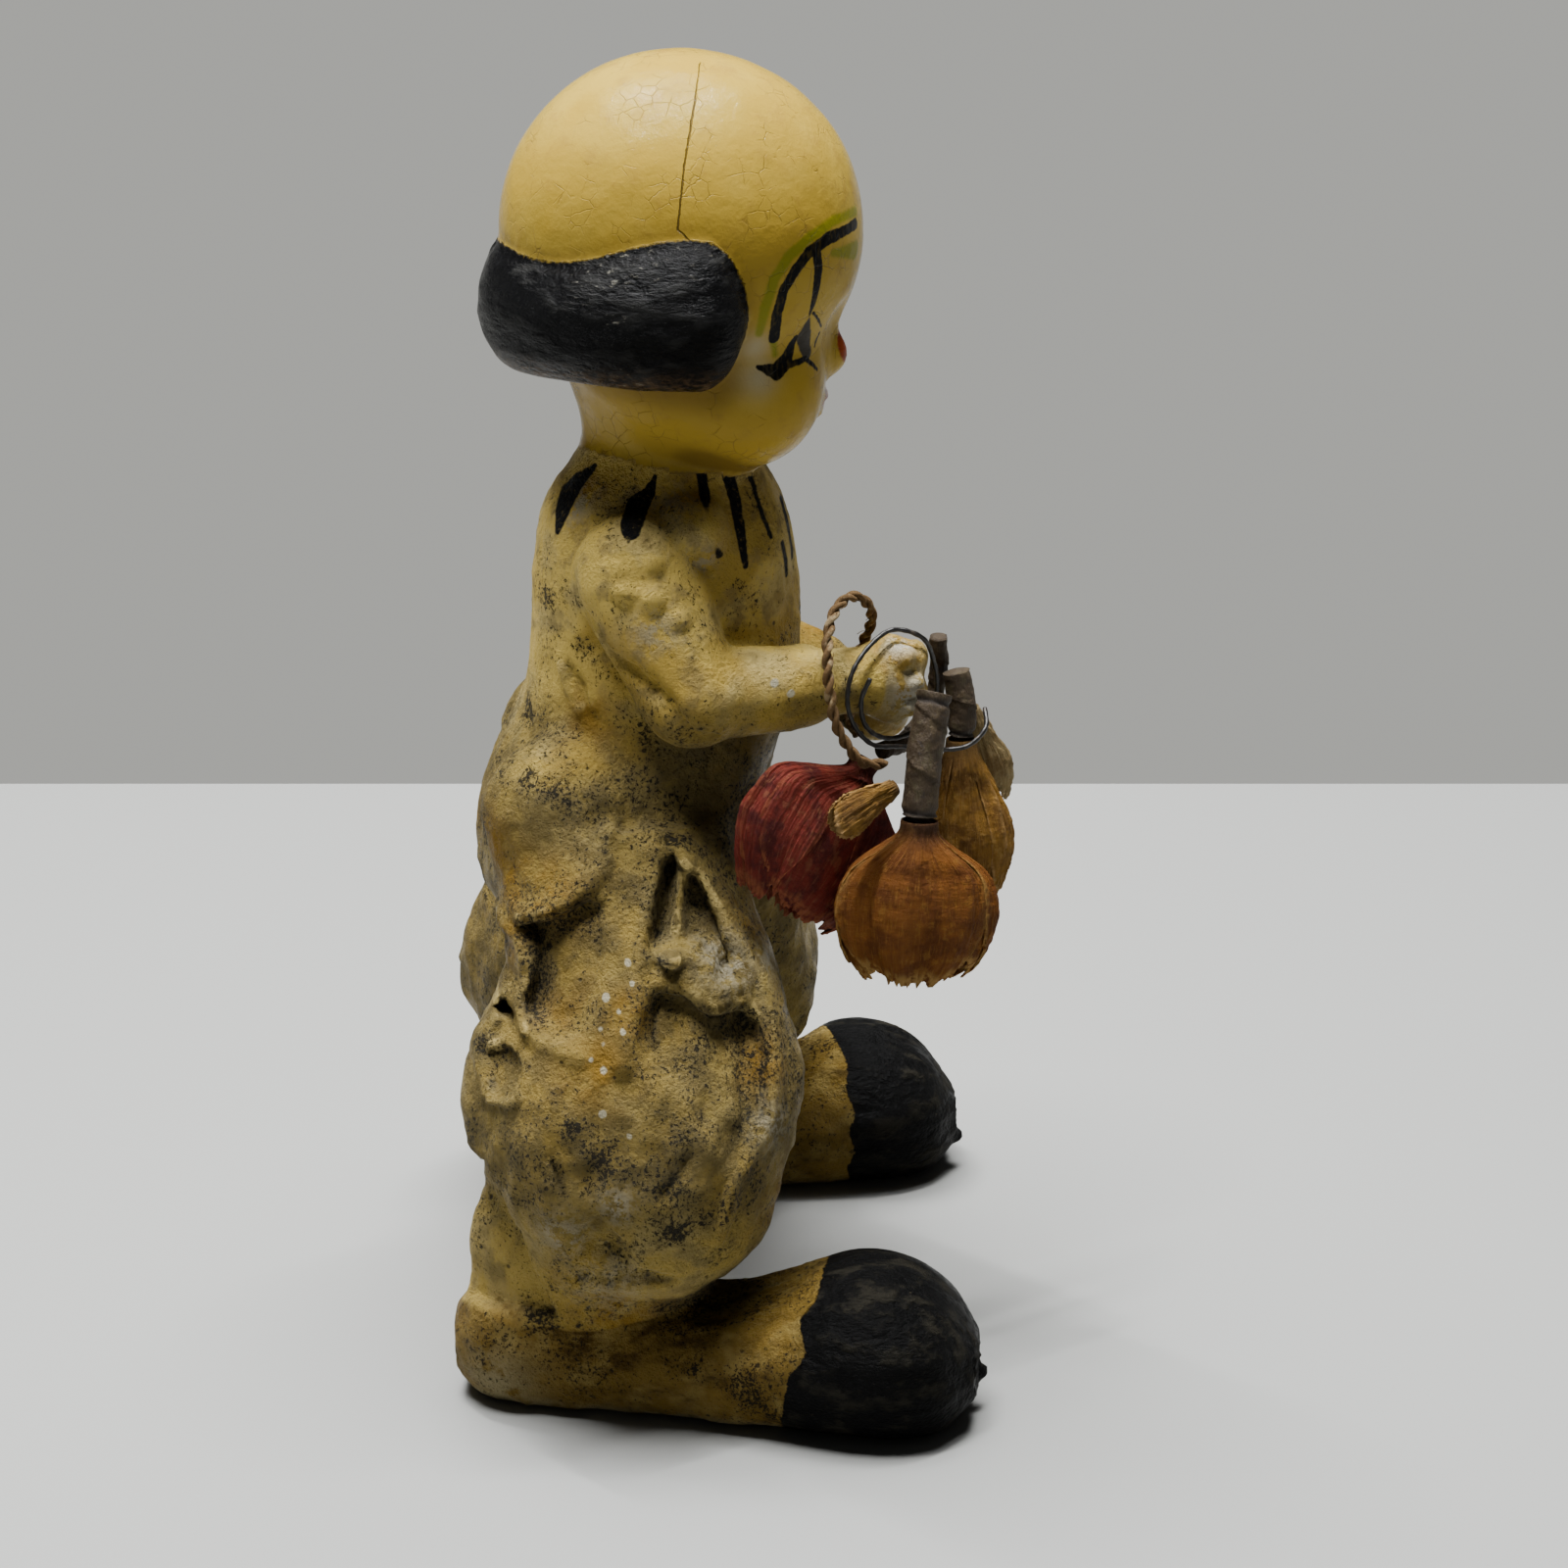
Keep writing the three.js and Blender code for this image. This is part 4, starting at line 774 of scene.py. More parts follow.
class ClownPaint(Paint):
    """What the paints of the head and of the suit share. Each covers its own side of the collar."""

    def __init__(self, name):
        super().__init__(name)
        place = self.here = self.place()
        wander = self.noise(place, 1.1, detail=4.0, roughness=0.65, output="Color")
        wander = self.vector("SUBTRACT", wander, (0.5, 0.5, 0.5))
        wander = self.node("VectorMath", {0: wander, "Scale": 0.5}, operation="SCALE")
        self.ragged = self.vector("ADD", place, wander)
        parts = [self.node("SeparateXYZ", {0: self.ragged}, output=axis) for axis in "XYZ"]
        beside = self.math("ABSOLUTE", parts[0])
        self.mirrored = self.node("CombineXYZ", {"X": beside, "Y": parts[1], "Z": parts[2]})
        self.fine = self.noise(place, 0.8, detail=4.0, roughness=0.7)
        self.middling = self.noise(place, 4.5, detail=4.0, roughness=0.6)
        self.broad = self.noise(place, 17.0, detail=3.0, roughness=0.55)
        # The hollow and crease values darken the paint as painted shade; the edge value lightens ridges as
        # rubbed wear and painted highlight.
        self.crease_shade = self.value("crease_shade")
        self.deep = self.value("deep")
        self.edge = self.value("edge")
        side = self.math("ADD", self.value("suit"), self.math("MULTIPLY_ADD", self.fine, 0.8, -0.4))
        self.suit = self.rise(side, -0.25, 0.25)

    def laid(self, distance, soft=0.12):
        """How much paint a stroke lays down, from how far its edge is."""
        return self.rise(distance, soft, -soft)


def head_paint():
    p = ClownPaint("painted_papier_mache_head")
    place, ragged, mirrored, laid = p.here, p.ragged, p.mirrored, p.laid
    fine, middling, broad, deep = p.fine, p.middling, p.broad, p.deep

    # The head: yellowed varnish over ivory paint, crazed all over.
    pale = rgb(0.375, 0.264, 0.045)
    head_colour = p.layers(
        rgb(0.335, 0.222, 0.028),
        (pale, p.times(p.rise(broad, 0.42, 0.62), 0.6)),
        (rgb(0.238, 0.145, 0.0297), p.times(p.rise(middling, 0.52, 0.72), 0.5)),
        # Painted shade: darker down in the head's hollows.
        (rgb(0.132, 0.0792, 0.0145), p.times(p.rise(deep, 0.05, 0.7), 0.8)),
    )
    crackle = p.rise(p.cells(ragged, 2.6, feature="DISTANCE_TO_EDGE"), 0.035, 0.0)
    crackle = p.times(crackle, p.rise(p.noise(place, 6.0), 0.48, 0.62))
    head_colour = p.layers(head_colour, (rgb(0.145, 0.0924, 0.0264), p.times(crackle, 0.45)))
    on_right = p.rise(p.node("SeparateXYZ", {0: place}, output="X"), 0.0, -1.0)
    seen_from_side = p.stretch(ragged, (CRACK_DEPTH, 1.0, 1.0))
    crack_points = [(CRACK_DEPTH * x, y, z) for x, y, z in HEAD_CRACK]
    crack = laid(p.stroke(seen_from_side, crack_points, [0.05, 0.12, 0.13, 0.12, 0.1, 0.05]), 0.07)
    crack = p.times(crack, on_right)
    head_colour = p.layers(head_colour, (rgb(0.06, 0.036, 0.012), p.times(crack, 0.85)))
    worn = p.value("worn")
    head_colour = p.layers(head_colour, (rgb(0.343, 0.304, 0.205), worn))

    green = p.least(
        p.stroke(mirrored, BROW_GREEN, [0.7, 0.9, 0.9, 0.9, 0.85, 0.8, 0.8]),
        p.stroke(mirrored, LID_GREEN, [1.5, 0.6]),
        p.stroke(mirrored, BROW_END, [0.7, 0.6]),
    )
    black = p.least(
        p.stroke(mirrored, BROW, [0.95, 0.9, 0.85, 0.9, 0.95, 1.0, 0.85]),
        p.stroke(mirrored, EYE_LINE, [0.9, 0.85, 0.7, 0.35]),
        p.stroke(mirrored, EYE_CORNER, [0.3, 1.3, 1.3, 0.4]),
        p.stroke(mirrored, LOWER_LID, [0.6, 0.45, 0.3]),
        *[p.stroke(mirrored, line, [0.25] * (len(line) - 1) + [0.2]) for line in INNER_LINES],
    )
    iris = p.stroke(mirrored, IRIS, [0.3, 1.5, 1.1])
    red = p.least(
        p.dot(mirrored, (0, -19.6, 155), 2.6),
        p.stroke(mirrored, [(0, -17.4, 147.8), (4.6, -16.4, 146.8)], [1.3, 0.7]),
    )
    brushed = p.rise(p.noise(p.stretch(place, (1.0, 1.0, 0.35)), 0.7, detail=2.0), 0.30, 0.52)
    head_colour = p.layers(
        head_colour,
        (rgb(0.172, 0.178, 0.00792), p.times(laid(green, 0.35), 0.85)),
        (rgb(0.02, 0.02, 0.022), p.times(laid(iris, 0.2), 0.95)),
        (rgb(0.004, 0.004, 0.004), p.times(laid(black), p.numbers(brushed, 0.9, 1.0))),
        (rgb(0.198, 0.0231, 0.0099), p.times(laid(red, 0.25), 0.92)),
    )

    # The hair: satin black, scuffed grey, chipped to the white ground.
    hair = p.rise(p.math("ADD", p.value("hair"), p.math("MULTIPLY_ADD", fine, 0.5, -0.25)), 0.45, 0.2)
    combed = p.stretch(place, (1.0, 1.0, 2.6))
    scuff = p.noise(combed, 7.0, detail=5.0, roughness=0.6)
    chips = p.noise(combed, 1.6, detail=5.0, roughness=0.7)
    hair_colour = p.layers(
        rgb(0.0035, 0.0035, 0.0038),
        (rgb(0.020, 0.020, 0.019), p.times(p.rise(scuff, 0.50, 0.66), 0.8)),
        (rgb(0.066, 0.0396, 0.0198), p.times(p.value("hair_low"), p.rise(chips, 0.42, 0.6))),
        (rgb(0.20, 0.19, 0.155), p.times(p.value("hair_chips"), p.rise(chips, 0.60, 0.66))),
    )

    colour = p.layers(head_colour, (hair_colour, hair), (rgb(0.20, 0.135, 0.035), p.suit))
    head_rough = p.numbers(p.rise(middling, 0.4, 0.65), 0.05, 0.11)
    roughness = p.numbers(hair, head_rough, p.numbers(p.rise(scuff, 0.42, 0.6), 0.18, 0.36))
    roughness = p.numbers(p.suit, roughness, 0.5)
    head_height = p.plus(
        p.times(middling, 0.25), p.times(crackle, -0.06), p.times(fine, 0.05), p.times(crack, -0.25))
    hair_height = p.plus(p.times(scuff, 1.3), p.times(chips, 0.35))
    height = p.numbers(hair, head_height, hair_height)
    return p.finish(colour, roughness, height, 1.0, Specular_IOR_Level=0.05)


def suit_paint():
    p = ClownPaint("painted_papier_mache_suit")
    place, ragged, mirrored, laid = p.here, p.ragged, p.mirrored, p.laid
    fine, middling, broad = p.fine, p.middling, p.broad
    crease_shade, deep, edge = p.crease_shade, p.deep, p.edge

    # The suit: cream ground under worn ochre, black speckle in patches, and painted shade with grime in the
    # folds and towards the bottom.
    # Painted shade with grime: the ground darkens towards the bottom, with patchy dark there too.
    low_shade_and_grime = p.value("low_shade_and_grime")
    worn_through = p.noise(place, 9.0, detail=5.0, roughness=0.6)
    suit_colour = p.layers(
        p.colours(low_shade_and_grime, rgb(0.56, 0.405, 0.10), rgb(0.350, 0.252, 0.066)),
        (rgb(0.44, 0.345, 0.135), p.times(p.rise(worn_through, 0.46, 0.60), 0.8)),
        (rgb(0.33, 0.215, 0.036), p.times(p.rise(broad, 0.46, 0.62), 0.7)),
        (rgb(0.20, 0.15, 0.060), p.times(p.rise(middling, 0.52, 0.66), 0.55)),
        (rgb(0.10, 0.068, 0.024), p.times(p.rise(fine, 0.56, 0.72), 0.5)),
        (rgb(0.115, 0.086, 0.031), p.times(low_shade_and_grime, p.numbers(p.rise(middling, 0.38, 0.60), 0.60, 0.95))),
        # Painted shade with grime: darker grey-brown down in the hollows.
        (rgb(0.115, 0.092, 0.046), p.times(p.rise(deep, 0.12, 0.65), p.numbers(middling, 0.45, 1.0))),
        (rgb(0.23, 0.125, 0.012), p.times(p.value("stain"), p.rise(middling, 0.30, 0.60), 0.9)),
        # Painted shade with grime in the tight creases.
        (rgb(0.06, 0.044, 0.020), p.times(p.rise(crease_shade, 0.45, 1.0), p.rise(middling, 0.36, 0.56), 0.6)),
        # Lighter ochre on ridges: rubbed wear and painted highlight.
        (rgb(0.46, 0.35, 0.125), p.times(p.rise(edge, 0.25, 0.65), p.rise(middling, 0.38, 0.56), 0.75)),
    )
    # Speckle: small ragged flecks, thickest in patches, and thicker in the hollows and low down as painted
    # shade with grime.
    everywhere = p.math("MULTIPLY_ADD", p.rise(p.noise(place, 8.0, detail=3.0), 0.40, 0.62), 0.34, 0.26)
    speckle = p.plus(
        p.most(p.value("speckle"), everywhere),
        p.times(p.rise(deep, 0.15, 0.6), 0.18), p.times(low_shade_and_grime, 0.12),
    )
    speckle = p.times(speckle, p.math("MULTIPLY_ADD", p.value("clean"), -0.55, 1.0))
    flecks = p.noise(ragged, 0.62, detail=3.0, roughness=0.8, distortion=0.4)
    wide_flecks = p.noise(ragged, 1.9, detail=6.0, roughness=0.8, distortion=0.7)
    threshold = p.math("MULTIPLY_ADD", speckle, -0.25, 0.72)
    fleck = p.rise(p.math("SUBTRACT", flecks, threshold), -0.005, 0.03)
    blot = p.rise(p.math("SUBTRACT", wide_flecks, p.math("MULTIPLY_ADD", speckle, -0.20, 0.735)), 0.0, 0.03)
    pits = p.rise(p.cells(place, 3.4), 0.13, 0.07)
    pits = p.times(pits, p.rise(p.noise(place, 5.0), 0.52, 0.56))
    black_flecks = p.most(fleck, blot, p.times(pits, 0.8))
    suit_colour = p.layers(
        suit_colour,
        (rgb(0.105, 0.092, 0.056), p.times(p.rise(speckle, 0.35, 0.95), p.rise(flecks, 0.36, 0.56), 0.45)),
        (rgb(0.016, 0.015, 0.013), p.times(black_flecks, 0.92)),
    )
    shallow = (STROKE_DEPTH, 1.0, 1.0)
    on_cloth = p.stretch(mirrored, shallow)
    ink = p.least(*[
        p.stroke(on_cloth, [tuple(np.multiply(point, shallow)) for point in points], radii)
        for points, radii in COLLAR_STROKES
    ])
    dotted = p.stretch(ragged, shallow)
    dots = p.least(*[p.dot(dotted, (STROKE_DEPTH * x, y, z), size) for x, y, z, size in WHITE_DOTS])
    chalk = p.times(p.value("chalk"), p.rise(p.noise(place, 1.7, detail=5.0, roughness=0.7), 0.44, 0.54))
    suit_colour = p.layers(
        suit_colour,
        (rgb(0.304, 0.277, 0.198), p.times(chalk, 0.85)),
        (rgb(0.009, 0.009, 0.010), p.times(laid(ink), p.numbers(p.rise(fine, 0.3, 0.45), 0.7, 1.0))),
        (rgb(0.363, 0.33, 0.224), laid(dots)),
    )
    # The hands are bare cream paint, chipped white.
    hand = p.rise(p.value("hand"), -0.2, 0.3)
    hand_colour = p.layers(
        rgb(0.38, 0.285, 0.10),
        (rgb(0.38, 0.25, 0.06), p.rise(middling, 0.45, 0.60)),
        (rgb(0.55, 0.52, 0.42), p.times(p.value("hand_chips"), p.rise(p.noise(place, 1.8), 0.42, 0.50))),
        # Painted shade in the hand's creases.
        (rgb(0.12, 0.09, 0.04), p.times(p.rise(crease_shade, 0.25, 0.7), 0.8)),
    )
    suit_colour = p.layers(suit_colour, (hand_colour, hand))

    # The shoes: tan with dark stains, and a black toe cap with a ragged painted edge.
    shoe = p.rise(p.value("shoe"), -0.3, 0.3)
    streaks = p.noise(p.stretch(place, (1.0, 0.45, 1.0)), 2.6, detail=5.0, roughness=0.6)
    shoe_colour = p.layers(
        rgb(0.165, 0.106, 0.0231),
        (rgb(0.231, 0.165, 0.0495), p.times(p.rise(p.noise(place, 5.0, detail=5.0), 0.46, 0.64), 0.8)),
        (rgb(0.066, 0.0383, 0.00858), p.times(p.rise(streaks, 0.40, 0.64), p.value("shoe_stain"))),
        (rgb(0.0297, 0.0178, 0.0066), p.times(p.rise(streaks, 0.58, 0.72), 0.6)),
        (rgb(0.264, 0.218, 0.112), p.times(p.value("sole"), p.rise(middling, 0.38, 0.52))),
        (rgb(0.010, 0.009, 0.008), p.times(black_flecks, 0.9)),
    )
    cap = p.rise(p.math("ADD", p.value("toe"), p.math("MULTIPLY_ADD", fine, 1.2, -0.6)), -0.12, 0.12)
    cap_scuff = p.noise(p.stretch(place, (1.0, 0.5, 1.0)), 4.2, detail=6.0, roughness=0.66)
    chips = p.noise(p.stretch(place, (1.0, 1.0, 2.0)), 1.6, detail=5.0, roughness=0.7)
    cap_colour = p.layers(
        rgb(0.0035, 0.0035, 0.0035),
        (rgb(0.020, 0.018, 0.013), p.times(p.rise(cap_scuff, 0.50, 0.64), 0.8)),
        # Scuffs on the cap's ridges, lighter there as wear and painted highlight.
        (rgb(0.0462, 0.0363, 0.0218), p.times(p.rise(edge, 0.30, 0.75), p.rise(chips, 0.44, 0.58), 0.7)),
        (rgb(0.0792, 0.066, 0.0429), p.times(p.rise(chips, 0.68, 0.72), 0.7)),
    )
    shoe_colour = p.layers(shoe_colour, (cap_colour, cap))
    suit_colour = p.layers(suit_colour, (shoe_colour, shoe))
    # Painted shade: the open splits and the hole behind the knee are black inside.
    suit_colour = p.layers(suit_colour, (rgb(0.006, 0.005, 0.004), p.value("opening_shade")))

    colour = p.layers(rgb(0.30, 0.205, 0.052), (suit_colour, p.suit))

    # A dry worn suit, with satin toe caps.
    on_cap = p.times(cap, shoe)
    suit_rough = p.numbers(p.rise(middling, 0.35, 0.65), 0.34, 0.58)
    roughness = p.numbers(on_cap, suit_rough, p.numbers(p.rise(cap_scuff, 0.4, 0.6), 0.3, 0.55))
    suit_height = p.plus(
        p.times(middling, 0.85), p.times(fine, 0.55), p.times(flecks, 0.22),
        p.times(black_flecks, -0.24), p.times(chalk, 0.05),
    )
    cap_height = p.plus(p.times(cap_scuff, 1.5), p.times(chips, 0.35))
    height = p.numbers(on_cap, suit_height, cap_height)
    return p.finish(colour, roughness, height, 1.5, Specular_IOR_Level=0.04)


# The clown's mesh.
SPECKLE_PATCHES = [
    (-19.3, -2.5, 122.6, 6), (-23, 1, 121, 3), (-29.6, 24, 92, 7), (-28, 20, 90, 5), (-27, 28, 95.4, 4),
    (-46.1, -1.9, 59.9, 8), (-47, 4, 66, 5), (-50, 6, 54, 6), (-40, 8, 70, 4), (-55.2, 20.9, 53, 6),
    (-55.9, 17, 46, 6), (-56, 24, 48, 4), (-55.9, 6.7, 40.8, 7), (-56.5, 2, 36, 5), (-21.6, -2.4, 88, 6),
    (-31, 6, 88, 5), (-31, 0, 86, 4), (-26, 3, 92, 5), (-57.8, 5.3, 35.4, 5), (-48, 26.3, 17.7, 6),
    (-52, 4.2, 12.4, 6), (-49, 24, 8, 6), (-57, -6, 9, 8), (-57, -10, 5, 6), (-26, 13, 125, 5),
    (-13, 24.5, 118, 6), (-10.5, 27, 112, 5), (-9.4, 28.3, 101, 6), (-22, 11, 100, 5), (-28, 9, 106, 3),
    (-20, 20, 113, 4), (-39, 34, 57, 4), (-57, 15, 37, 4), (-46, 29, 40, 5), (-33, 4, 78, 5),
    (16, -8, 118, 6), (30, 20, 90, 8), (46, 0, 60, 8), (55, 18, 50, 9), (54, 4, 34, 8), (0, 28, 96, 8),
    (-14, 35, 84, 7), (14, 36, 82, 7), (0, -13, 112, 6), (38, 36, 44, 8), (-34, -12, 44, 7),
    (30, 30, 62, 7), (20, 8, 116, 5), (-20, 34, 60, 7), (34, -14, 44, 7), (52, 2, 10, 7), (40, 34, 14, 7),
]
STAINS = [
    (-20, 18.4, 103.6, 5), (-30, 30, 80, 6), (-35, 24, 79, 6), (-41, 20, 61, 7), (-50, 17, 58, 6),
    (-34, 31, 72, 4), (-44, -7, 57, 5), (-46, 33, 13, 6), (-50, 14, 18, 9), (-30, -6, 74, 6),
    (-26, 34, 84, 6), (20, -16, 104, 6), (34, 30, 78, 8), (44, 20, 60, 8), (-12, 20, 136, 5),
    (-16, 2, 139, 5), (0, 34, 78, 8), (48, 30, 16, 8), (-42, -10, 34, 6), (-48, 12, 66, 4),
]
CLEAN = [
    (-27, 8, 114, 7), (-27, -4, 111, 8), (-22, -14, 109, 7), (-24, 14, 124, 5), (-30, 22, 84, 6),
    (-28, 16, 100, 6), (27, 8, 114, 8), (25, -6, 104, 8), (-44, 14, 72, 4), (-50, 18, 60, 5),
]
CHALK = [
    (-17, 5.4, 133.9, 4), (-38.8, -1.4, 70.4, 5), (-44.6, 37.1, 7.7, 6), (-47, 31, 5.7, 6), (-50, 15, 27, 7),
    (-20.6, 2, 128, 3), (-34, -8.6, 70, 3), (-48, -9.6, 48, 4), (-12, 20, 133, 4), (-28.6, 8, 119, 4),
    (-52, 6, 44, 4), (-56, 22, 35, 4), (44, 37, 8, 6), (18, 6, 134, 4), (-58, 14, 40, 3),
]


HAIR_CHIPS = [
    (-24.9, 10, 172, 5), (-24.6, 15, 171, 5), (-23.4, 2, 172, 5), (-30, 14, 165, 3), (-26, 12, 156, 3),
    (24, 12, 172, 6), (0, 31, 168, 5),
]
HAND_CHIPS = [(-19.8, -29.6, 106, 4), (-18, -28, 113, 2.5), (8, -29, 95, 3)]
SHOE_STAINS = [(-47, 4, 18, 8), (-50, 13, 15, 7), (-49, 20, 15, 6), (46, 8, 16, 9)]
BARE_HEEL = [(-46, 33, 5, 7)]
WORN_TEMPLE = [(-19.8, -6.5, 159, 3.4), (-19.1, -6.9, 154.4, 4), (19.4, -6.5, 158, 3)]
# The open splits of the paper and the round hole behind the right knee, painted black inside as shade.
OPEN_SPLITS = [
    SLIT,
    [(-56.4, 3.4, 47), (-57, 4.7, 45.2), (-57.4, 6, 43.3), (-57.6, 7.2, 41.8)],
    [(-56.1, 23.8, 47.1), (-57.1, 21.7, 42.1)],
]
HOLE_CENTRE, HOLE_REACH = (-36.6, 31.6, 62.6), (1.5, 1, 1.5)
# The ragged edge of the right toe cap's paint: how far on along the shoe, at these heights.
CAP_EDGE_Z = [0, 8, 12.9, 13.1, 16, 18, 19.5, 22, 24]
CAP_EDGE = [51, 52.1, 53, 53.8, 55.4, 54.6, 53.9, 56.2, 56.5]
FAR_CAP_EDGE = 58.6
FIST = (-17, -26, 107)


def spread(p, patches):
    """From 0 to 1: how far each place lies inside any of the soft patches (x, y, z, radius)."""
    total = np.zeros(len(p))
    for x, y, z, radius in patches:
        total = np.maximum(total, np.exp(-(np.linalg.norm(p - (x, y, z), axis=1) / radius) ** 2 * 1.4))
    return total


def build_clown():
    values = sample(clown_distance, SAMPLED_LOW, SAMPLED_HIGH)
    p, faces = surface_of(values, SAMPLED_LOW)
    for _ in range(2):
        d = clown_distance(p)
        p = p - np.clip(d, -0.4, 0.4)[:, None] * slope_of(clown_distance, p)
    normal = slope_of(clown_distance, p)
    z = p[:, 2]

    head_gap, hand_gap = evaluate(HEAD, p), evaluate(HANDS, p)
    sleeve_gap = evaluate(sleeves(), p)
    body = evaluate([*SUIT, add(shoe(RIGHT), 2), add(shoe(LEFT), 2), *HANDS], p)
    suit = head_gap - body
    leg_gap = evaluate([*leg(RIGHT), *leg(LEFT)], p)
    shoe_gap = np.minimum(shoe(RIGHT)(p), shoe(LEFT)(p))
    on_shoe = np.where(z < 28, leg_gap - shoe_gap, -3.0)
    is_suit = suit > 0

    def hemmed_in(h):
        """Near 0 on open surface, towards 1 down in a hollow."""
        return np.clip(1.0 - clown_distance(p + h * normal) / h, 0.0, 1.5)

    # Painted shade: the hollow and crease values darken the paint, much less above the hips.
    above_hips = smooth((z - 92) / 14) * is_suit
    deep = 0.5 * (hemmed_in(5.0) + hemmed_in(9.0)) * mix(1.0, 0.15, above_hips)
    crease_shade = hemmed_in(1.4) * mix(1.0, 0.55, above_hips)
    # The edge value is high on ridges; the paint lightens there as rubbed wear and painted highlight.
    edge = np.clip(1.0 + clown_distance(p - 1.6 * normal) / 1.6, 0.0, 1.5)

    near = np.where(p[:, 0] < 0, RIGHT, LEFT)
    foot = np.where((near == RIGHT)[:, None], along_foot(RIGHT, p), along_foot(LEFT, p))
    jag = np.interp(z, CAP_EDGE_Z, CAP_EDGE)
    far_jag = FAR_CAP_EDGE - 0.1 * foot[:, 0] + 0.5 * np.sin(0.9 * z)
    toe = foot[:, 2] - np.where(near == RIGHT, jag, far_jag)

    # Relief: soft dents in the head, crumpled paste on the suit, long furrows in the toe caps.
    rough = 0.16 * lumps(p, 11, 1) + 0.06 * lumps(p, 4, 2)
    crumple = 1.0 - np.abs(lumps(p, 6.5, 3)) * 2.2
    paste = 0.34 * lumps(p, 9, 4) + 0.34 * np.clip(crumple, 0, 1) * smooth(0.3 + lumps(p, 14, 5) * 2)
    small_crumple = 1.0 - np.abs(lumps(p, 3.4, 15)) * 2.4
    paste += 0.16 * lumps(p, 3.2, 6) + 0.16 * np.clip(small_crumple, 0, 1) + 0.10 * lumps(p, 1.6, 7)
    paste *= np.where(z < 100, 1.2, 0.8)
    turn = np.arctan2(foot[:, 0], foot[:, 1] - 11) * 5.0
    lengthwise = np.stack([turn, foot[:, 2] / 16.0, p[:, 0] * 0 + near * 3.3], axis=1)
    furrows = lumps(lengthwise, 0.55, 8) + 0.6 * lumps(lengthwise, 0.27, 9)
    toe_relief = 0.36 * furrows * smooth((foot[:, 2] - 55) / 6)
    hair_wave = 0.35 * lumps(p * (1, 1, 2.2), 9, 10) + 0.12 * lumps(p * (1, 1, 2.2), 3.4, 11)
    hair = hair_roll(p)
    relief = np.where(is_suit, np.where((toe > 0) & (on_shoe > 0), toe_relief + 0.2 * paste, paste), rough)
    relief = np.where((hair < 0.5) & ~is_suit, hair_wave, relief)
    seam = smooth(np.abs(suit) / 1.5)
    on_hand = (hand_gap < sleeve_gap) & is_suit
    relief = np.where(on_hand, 0.4 * relief, relief) * seam
    on_face = (z < 172) & (p[:, 1] < -8) & ~is_suit
    relief = np.where(on_face, 0.35 * relief, relief)
    grounded = smooth(z / 1.5)
    wire_room = smooth((np.linalg.norm(p - FIST, axis=1) - 5) / 6)
    relief = relief * grounded * np.where(relief > 0, wire_room, 1.0)
    p_out = p + relief[:, None] * normal
    p_out[:, 2] = np.maximum(p_out[:, 2], 0.0)

    # Painted shade: black inside the hole behind the knee and in the open splits.
    opening_shade = np.exp(-(np.linalg.norm((p - HOLE_CENTRE) / HOLE_REACH, axis=1) / 2.4) ** 4)
    opening_shade *= smooth(crease_shade * 2)
    for split in OPEN_SPLITS:
        opening_shade = np.maximum(opening_shade, np.exp(-(nearest(p, split) / 0.5) ** 2))
    # Painted shade along the sleeve's back edge and under the chest lump, where they lie against the smock.
    seam_gap = np.minimum(nearest(p, SLEEVE_BACK), nearest(p, CHEST_EDGE))
    crease_shade = np.maximum(crease_shade, 0.55 * np.exp(-(seam_gap / 0.7) ** 2))
    # Painted shade with grime: darker and more speckled towards the bottom, easing off near the feet.
    low_shade_and_grime = smooth((112 - z + 8 * lumps(p, 9, 16)) / 20) * mix(0.45, 1.0, smooth((z - 25) / 20))
    attributes = {
        "suit": suit,
        "hair": np.clip(hair, -2, 3),
        "hair_low": smooth((158.5 - z) / 5),
        "hair_chips": spread(p, HAIR_CHIPS),
        "crease_shade": crease_shade,
        "deep": deep,
        "edge": edge,
        "hand": np.where(is_suit, sleeve_gap - hand_gap, -3.0),
        "hand_chips": spread(p, HAND_CHIPS),
        "shoe": on_shoe,
        "toe": toe,
        "shoe_stain": 0.35 + spread(p, SHOE_STAINS),
        "sole": smooth((3.4 - z) / 2.4) * smooth((66 - foot[:, 2]) / 20) + spread(p, BARE_HEEL),
        "speckle": spread(p, SPECKLE_PATCHES) * smooth(0.6 + lumps(p, 5, 13)),
        "stain": spread(p, STAINS),
        "clean": spread(p, CLEAN),
        "low_shade_and_grime": low_shade_and_grime,
        "chalk": spread(p, CHALK),
        "worn": 0.75 * spread(p, WORN_TEMPLE) ** 1.5,
        "opening_shade": np.clip(opening_shade, 0, 1),
    }
    return to_object("papier_mache_figure", p_out, faces, head_paint(), attributes,
                     second=suit_paint(), is_second=suit[faces].mean(axis=1) > 0)


clown = build_clown()
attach(clown, "root")
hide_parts("papier_mache_clown")


# The bunch: crepe paper flowers, wrapped stems, black wire and a loop of twine.
def unit(v):
    return v / np.maximum(np.linalg.norm(v, axis=-1, keepdims=True), 1e-9)


# A flower's half width as a share of its radius, at these places from its neck to its mouth.
PROFILE_AT = (0.3, 0.5, 0.66, 0.84, 1)
BELL = (0.68, 0.95, 1, 0.8, 0.52)
SHAWL = (0.86, 1, 1, 0.82, 0.56)
FAN = (0.55, 0.74, 0.86, 0.96, 0.92)
PUFF = (0.84, 1, 0.98, 0.84, 0.6)


